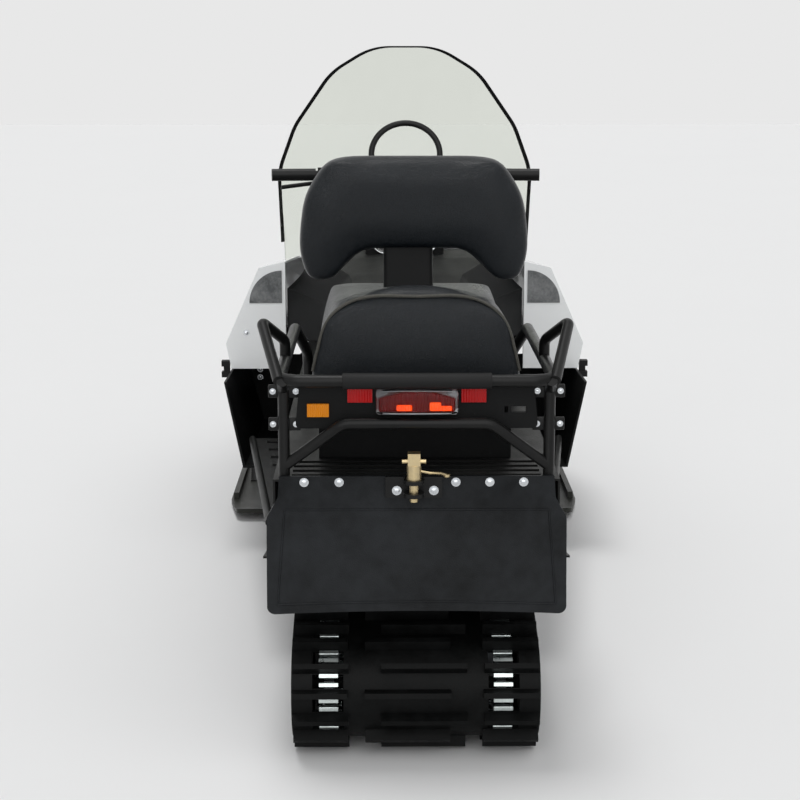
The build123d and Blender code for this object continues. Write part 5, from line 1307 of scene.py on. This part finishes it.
@dataclass
class SpringWork:
    """The coil springs of the rear suspension."""

    shop: Workshop
    plans: tuple[CoilPlan, ...] = (
        CoilPlan("front_spring", "front_shock", (-0.300, 0.0, 0.132), (0.020, 0.0, 0.355), 9),
        CoilPlan("rear_spring", "rear_shock", (-0.6925, 0.0, 0.130), (-0.6615, 0.0, 0.318), 6),
    )

    def build(self) -> None:
        """Wind both springs round their dampers."""
        for plan in self.plans:
            low, high = Vector(plan.low), Vector(plan.high)
            axis = high - low
            bm = bmesh.new()
            wire_end(bm, plan.radius, plan.wire, 9)
            steps = plan.turns * plan.steps_a_turn
            bmesh.ops.spin(bm, geom=[*bm.edges], cent=(0, 0, 0), axis=UP, dvec=(0, 0, axis.length / steps),
                           angle=TURN * plan.turns, steps=steps, use_merge=False, use_duplicate=False)
            bmesh.ops.holes_fill(bm, edges=bm.edges, sides=0)
            bmesh.ops.transform(bm, matrix=Matrix.Translation(low) @ facing(axis), verts=bm.verts)
            self.shop.finish(plan.name, bm, plan.node, Surfaces.frame_paint, sharp=50.0)


@dataclass
class PostWork:
    """The backrest's post, which goes up into the cushion through its lower edge."""

    shop: Workshop
    y: float = 0.012
    width: float = 0.104
    depth: float = 0.030
    foot: float = 0.753
    knee: float = 0.925
    knee_rise: float = 0.055
    top: float = 1.045
    rear_x: float = -1.096
    top_x: float = -1.050
    corner: float = 0.010

    def build(self) -> None:
        """Make the post and stand it for its CAD node."""
        bm = bmesh.new()
        start = Matrix.Translation((self.rear_x, self.y, self.foot))
        start = start @ Matrix.Diagonal((self.depth, self.width, 1, 1))
        bmesh.ops.create_grid(bm, x_segments=1, y_segments=1, size=0.5, matrix=start)
        face = bm.faces[:]
        bend = self.knee + self.knee_rise
        for x, z in ((self.rear_x, self.knee), (self.top_x, bend), (self.top_x, self.top)):
            made = bmesh.ops.extrude_face_region(bm, geom=face)["geom"]
            verts = [item for item in made if isinstance(item, bmesh.types.BMVert)]
            bmesh.ops.delete(bm, geom=face, context="FACES_ONLY")
            face = [item for item in made if isinstance(item, bmesh.types.BMFace)]
            middle = sum((vert.co for vert in verts), Vector()) / len(verts)
            bmesh.ops.translate(bm, verts=verts, vec=Vector((x, self.y, z)) - middle)
        round_edges(bm, [edge for edge in bm.edges if span(edge, 2) > 0.01], self.corner, 5)
        open_foot = [edge for edge in bm.edges if edge.is_boundary]
        bmesh.ops.holes_fill(bm, edges=open_foot, sides=0)
        piece = self.shop.finish("backrest_post_dressed", bm, "backrest_post", Surfaces.body_black,
                                 sharp=50.0)
        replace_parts(piece, "backrest_post")


@dataclass
class BarWork:
    """The handlebar: painted tube, rubber grips, and the arched hoop over its middle."""

    shop: Workshop
    bar_x: float = 0.130
    hoop_x: float = 0.170
    rise: float = 1.080
    arch_foot: float = 1.136
    top: float = 1.2215
    half: float = 0.096
    foot_share: float = 0.96
    arch_steps: int = 32
    tube: float = 0.0084
    hoop_margin: float = 0.02
    hoop_rise: float = 0.0115
    hoop_back: float = 0.012
    grip_from: float = 0.251
    grip_reach: float = 0.02
    lever_from: float = 0.235
    lever_gap: float = 0.030
    lever_drop: float = 0.024
    lever_run: float = 0.040

    def arch(self) -> list[Vector]:
        """Return the hoop's line, from its left foot over to its right one."""
        points = [Vector((self.bar_x, self.half * self.foot_share, self.rise))]
        for step in range(self.arch_steps + 1):
            angle = math.pi * step / self.arch_steps
            height = self.arch_foot + (self.top - self.arch_foot) * math.sin(angle)
            lean = (height - self.rise) / (self.top - self.rise)
            x = self.bar_x + lean * (self.hoop_x - self.bar_x)
            points.append(Vector((x, self.half * math.cos(angle), height)))
        points.append(Vector((self.bar_x, -self.half * self.foot_share, self.rise)))
        return points

    def in_hoop(self, face: bmesh.types.BMFace) -> bool:
        """Tell whether a face of the CAD handlebar belongs to its flat-topped hoop."""
        middle = face.calc_center_median()
        return (abs(middle.y) < self.half + self.hoop_margin and middle.x > self.bar_x - self.hoop_back
                and max(vert.co.z for vert in face.verts) > self.rise + self.hoop_rise)

    def build(self) -> None:
        """Dress the bar, its grips and its hoop."""
        bm = self.shop.copy("handlebar")
        bmesh.ops.delete(bm, geom=[face for face in bm.faces if self.in_hoop(face)], context="FACES")
        bmesh.ops.holes_fill(bm, edges=[edge for edge in bm.edges if edge.is_boundary], sides=0)
        for vert in bm.verts:
            if vert.co.y > self.lever_from and vert.co.x > self.bar_x + self.lever_gap:
                vert.co.z -= self.lever_drop * min(1.0, (vert.co.y - self.lever_from) / self.lever_run)
        bm.normal_update()
        for face in bm.faces:
            middle = face.calc_center_median()
            if abs(middle.y) > self.grip_from and abs(middle.z - self.rise) < self.grip_reach:
                face.material_index = 1
        piece = self.shop.finish("handlebar_dressed", bm, "handlebar", Surfaces.frame_paint,
                                 Surfaces.soft_rubber, merge=False)
        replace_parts(piece, "handlebar")
        bm = bmesh.new()
        pipe(bm, self.arch(), self.tube, 16)
        self.shop.finish("handlebar_hoop", bm, "handlebar", Surfaces.frame_paint, sharp=50.0)


@dataclass
class ConsoleWork:
    """The console with its two gauges behind glossy faces, their needles and rims, and the fuel cap."""

    shop: Workshop
    gauge_start: Point = (0.10, 0.055, 1.08)
    gauge_heading: Point = (0.78, 0.0, -0.60)
    radius: float = 0.040
    rim_wire: float = 0.0022
    ticks: int = 25
    first_tick: float = -225.0
    tick_sweep: float = 270.0
    cap: Point = (0.020, 0.0, 0.808)
    cap_radius: float = 0.042
    cap_ribs: int = 24

    def gauge(self, rims: BMesh, faces: BMesh, marks: BMesh, side: int) -> None:
        """Add one gauge's rim, face and plain tick marks, laid square to the pod where it is found.

        Args:
            rims: The mesh that the rim goes into.
            faces: The mesh that the dark face goes into.
            marks: The mesh that the tick marks and the needle go into.
            side: -1 or 1, for the gauge's side along Y.
        """
        x, y, z = self.gauge_start
        place, normal = self.shop.look("console", (x, side * y, z), self.gauge_heading)
        turn = facing(normal)
        drum(faces, place + 0.0012 * normal, normal, self.radius * 0.93, 0.0016, 40)
        edges = edges_of(wire_end(rims, self.radius * 0.97, self.rim_wire, 8))
        verts = list({vert for edge in edges for vert in edge.verts})
        bmesh.ops.spin(rims, geom=[*verts, *edges], cent=(0, 0, 0), axis=UP, angle=TURN, steps=40,
                       use_merge=True)
        fresh = [vert for vert in rims.verts if not vert.tag]
        bmesh.ops.transform(rims, matrix=Matrix.Translation(place + 0.0030 * normal) @ turn, verts=fresh)
        for vert in rims.verts:
            vert.tag = True
        for tick in range(self.ticks):
            angle = math.radians(self.first_tick + self.tick_sweep * tick / (self.ticks - 1))
            out = Vector((math.cos(angle), math.sin(angle), 0))
            length = 0.0065 if tick % 4 == 0 else 0.0038
            centre = turn @ (out * (self.radius * 0.84 - length / 2)) + place + 0.0022 * normal
            rounded_box(marks, centre, (length, 0.0009, 0.0004), turn=turn @ Matrix.Rotation(angle, 4, "Z"))
        needle = turn @ Vector((0.008, 0.008, 0.0)) + place + 0.0028 * normal
        rounded_box(marks, needle, (0.030, 0.0014, 0.0006), turn=turn @ Matrix.Rotation(TURN / 8, 4, "Z"))

    def fuel_cap(self) -> None:
        """Add the fuel cap, a ribbed drum with a bar to turn it by."""
        bm = bmesh.new()
        foot, radius = Vector(self.cap), self.cap_radius
        middle = foot + Vector((0, 0, 0.005))
        drum(bm, middle, UP, radius * 0.92, 0.010, 36, radius * 0.88)
        for rib in range(self.cap_ribs):
            angle = TURN * rib / self.cap_ribs
            out = Vector((math.cos(angle), math.sin(angle), 0))
            rounded_box(bm, middle + out * radius * 0.90, (0.004, 0.005, 0.009), 0.0012,
                        turn=Matrix.Rotation(angle, 4, "Z"))
        rounded_box(bm, foot + Vector((0, 0, 0.013)), (0.062, 0.015, 0.010), 0.004, 3)
        self.shop.finish("fuel_cap", bm, "console", Surfaces.soft_rubber)

    def build(self) -> None:
        """Dress the console and add its gauges and cap."""
        self.shop.restyle("console", Surfaces.body_black)
        rims, faces, marks = bmesh.new(), bmesh.new(), bmesh.new()
        for side in (-1, 1):
            self.gauge(rims, faces, marks, side)
        self.shop.finish("gauge_rims", rims, "console", Surfaces.plated, sharp=60.0)
        self.shop.finish("gauge_faces", faces, "console", Surfaces.gauge_face)
        self.shop.finish("gauge_marks", marks, "console", Surfaces.hood_white)
        self.fuel_cap()


@dataclass
class RackWork:
    """The rack's rubber sleeve, and the bolted tabs that hold its rear posts."""

    shop: Workshop
    sleeve: Point = (-1.420, 0.0, 0.799)
    sleeve_length: float = 0.286
    sleeve_radius: float = 0.0156
    sleeve_edge: float = 0.0022
    tab_x: float = -1.3815
    tab_y: float = 0.2565
    tab_heights: tuple[float, float] = (0.772, 0.707)
    tab: Point = (0.005, 0.062, 0.026)
    tab_edge: float = 0.0016
    bolt_reach: float = 0.0225
    bolt_radius: float = 0.0042

    def build(self) -> None:
        """Add the sleeve, the tabs and their bolts."""
        bm = bmesh.new()
        drum(bm, self.sleeve, ACROSS, self.sleeve_radius, self.sleeve_length, 32)
        round_edges(bm, [edge for edge in bm.edges if span(edge, 1) < 0.001], self.sleeve_edge, 3)
        self.shop.finish("rack_sleeve", bm, "rack", Surfaces.soft_rubber)
        tabs, bolts = bmesh.new(), bmesh.new()
        for side in (-1, 1):
            for height in self.tab_heights:
                rounded_box(tabs, (self.tab_x, side * self.tab_y, height), self.tab, self.tab_edge)
                for reach in (-self.bolt_reach, self.bolt_reach):
                    foot = (self.tab_x - self.tab[0] / 2, side * self.tab_y + reach, height)
                    bolt_head(bolts, foot, REARWARD, self.bolt_radius)
        self.shop.finish("rack_tabs", tabs, "rack", Surfaces.frame_paint)
        self.shop.finish("rack_bolts", bolts, "rack", Surfaces.plated)


@dataclass
class FastenerWork:
    """Bolts and rivets that show on the machine, each set on the surface it holds."""

    shop: Workshop
    head: float = 0.0062
    rivet: float = 0.0042
    rivet_height: float = 0.0016
    bolt_start: float = -0.30
    bolts: tuple[tuple[str, tuple[tuple[float, float], ...]], ...] = (
        ("hood", ((0.469, 0.604),)),
        ("belly_pan", ((0.455, 0.430), (0.455, 0.405))),
    )
    rivet_from: float = -1.34
    rivet_to: float = 0.30
    rivet_pitch: float = 0.082
    top_start: tuple[float, float] = (0.285, 0.75)
    top_above: float = 0.55
    side_start: tuple[float, float] = (0.45, 0.560)
    side_beyond: float = 0.28

    def set_rivet(self, bm: BMesh, foot: Vector, out: Point) -> None:
        """Add one rivet head, standing on a surface whose outward direction is given."""
        middle = foot + self.rivet_height / 2 * Vector(out)
        drum(bm, middle, out, self.rivet, self.rivet_height, 14, self.rivet * 0.6)

    def build(self) -> None:
        """Set the bolts and the tunnel's rivets."""
        for node, spots in self.bolts:
            bm = bmesh.new()
            for side in (1, -1):
                for y, z in spots:
                    found = self.shop.meet(node, (self.bolt_start, side * y, z), FORWARD)
                    bolt_head(bm, found, REARWARD, self.head)
            self.shop.finish(f"{node}_bolts", bm, node, Surfaces.plated)
        bm = bmesh.new()
        count = int((self.rivet_to - self.rivet_from) / self.rivet_pitch)
        for side in (-1, 1):
            for step in range(count + 1):
                x = self.rivet_from + step * self.rivet_pitch
                y, z = self.top_start
                found, _ = self.shop.look("tunnel", (x, side * y, z), (0, 0, -1))
                if found is not None and found.z > self.top_above:
                    self.set_rivet(bm, found, UP)
                y, z = self.side_start
                found, _ = self.shop.look("tunnel", (x, side * y, z), (0, -side, 0))
                if found is not None and abs(found.y) > self.side_beyond:
                    self.set_rivet(bm, found, (0, side, 0))
        self.shop.finish("tunnel_rivets", bm, "tunnel", Surfaces.alloy)


@dataclass
class HeadlampWork:
    """The pockets, bowls and bulbs behind the clear headlamp covers."""

    shop: Workshop
    start: tuple[float, float] = (1.6, 0.105)
    bowl: float = 0.034
    bowl_depth: float = 0.018
    bulb: float = 0.007
    shrink: float = 0.88

    def build(self) -> None:
        """Set a dark pocket with a bright bowl and its bulb inside each cover."""
        pocket = self.shop.copy("headlamps")
        for side in (-1, 1):
            verts = [vert for vert in pocket.verts if vert.co.y * side > 0]
            middle = sum((vert.co for vert in verts), Vector()) / len(verts)
            bmesh.ops.scale(pocket, vec=(self.shrink, self.shrink, self.shrink), verts=verts,
                            space=Matrix.Translation(-middle))
        self.shop.finish("headlamp_pockets", pocket, "headlamps", Surfaces.body_black, merge=False)
        low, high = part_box("headlamps")
        x, y = self.start
        bm = bmesh.new()
        for side in (-1, 1):
            found = self.shop.meet("headlamps", (x, side * y, (low.z + high.z) / 2), REARWARD)
            centre = found - Vector((0.012, 0, 0))
            drum(bm, centre, FORWARD, self.bowl * 0.45, self.bowl_depth, 36, self.bowl * 0.9)
            bmesh.ops.create_uvsphere(bm, u_segments=18, v_segments=10, radius=self.bulb,
                                      matrix=Matrix.Translation(centre + Vector((0.010, 0, 0))))
        self.shop.finish("headlamp_bowls", bm, "headlamps", Surfaces.reflector_bowl)


def pairs(*names: str) -> tuple[str, ...]:
    """Return the left and right nodes of each name."""
    return tuple(f"{name}_{side}" for name in names for side in ("left", "right"))


@dataclass
class PlainWork:
    """Every other CAD node, shaded smooth and given its finish.

    A row is a finish, the degrees from which its edges stay sharp, and its nodes.
    """

    shop: Workshop
    table: tuple[tuple[Finish, float, tuple[str, ...]], ...] = (
        (Surfaces.tunnel_paint, 30.0, ("tunnel", *pairs("running_board"))),
        (Surfaces.hood_white, 30.0, ("hood",)),
        (Surfaces.label_dark, 30.0, ("hood_panels",)),
        (Surfaces.lamp_clear, 30.0, ("headlamps",)),
        (Surfaces.screen, 40.0, ("windshield",)),
        (Surfaces.cast_block, 30.0, ("engine",)),
        (Surfaces.alloy, 30.0, ("slide_rails",)),
        (Surfaces.body_black, 40.0, ("windshield_trim",)),
        (Surfaces.body_black, 30.0, ("belly_pan", "seat_base")),
        (Surfaces.body_black, 34.0, ("column_bearing", "bogie_wheels", "carrier_wheels", "rear_idlers",
                                     "drive_axle")),
        (Surfaces.frame_paint, 34.0, ("rack", "front_bumper", "front_frame", "front_arm", "rear_arm",
                                      *pairs("strut", "ski_saddle"))),
        (Surfaces.soft_rubber, 60.0, pairs("gaiter")),
        (Surfaces.soft_rubber, 34.0, pairs("latch")),
        (Surfaces.ski_plastic, 34.0, pairs("ski")),
        (Surfaces.plated, 34.0, ("hood_hinge", "front_shock", "rear_shock",
                                 *pairs("ski_leg", "ski_pivot", "ski_runner", "tie_rod"))),
    )

    def build(self) -> None:
        """Dress the nodes."""
        for finish, sharp, nodes in self.table:
            for node in nodes:
                self.shop.restyle(node, finish, sharp)


def main() -> None:
    """Build every sub-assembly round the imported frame, in order."""
    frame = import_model()
    shop = Workshop(frame)
    Studio().build()
    for work in (PlainWork, TrackWork, SpringWork, BarWork, ConsoleWork, PostWork, RackWork, FastenerWork,
                 HeadlampWork, FlapWork, TailWork, HitchWork, SeatWork):
        work(shop).build()
        LOG.info("%s done", work.__name__)


if __name__ == "__main__":
    logging.basicConfig(level=logging.INFO, format="%(name)s: %(message)s")
    main()
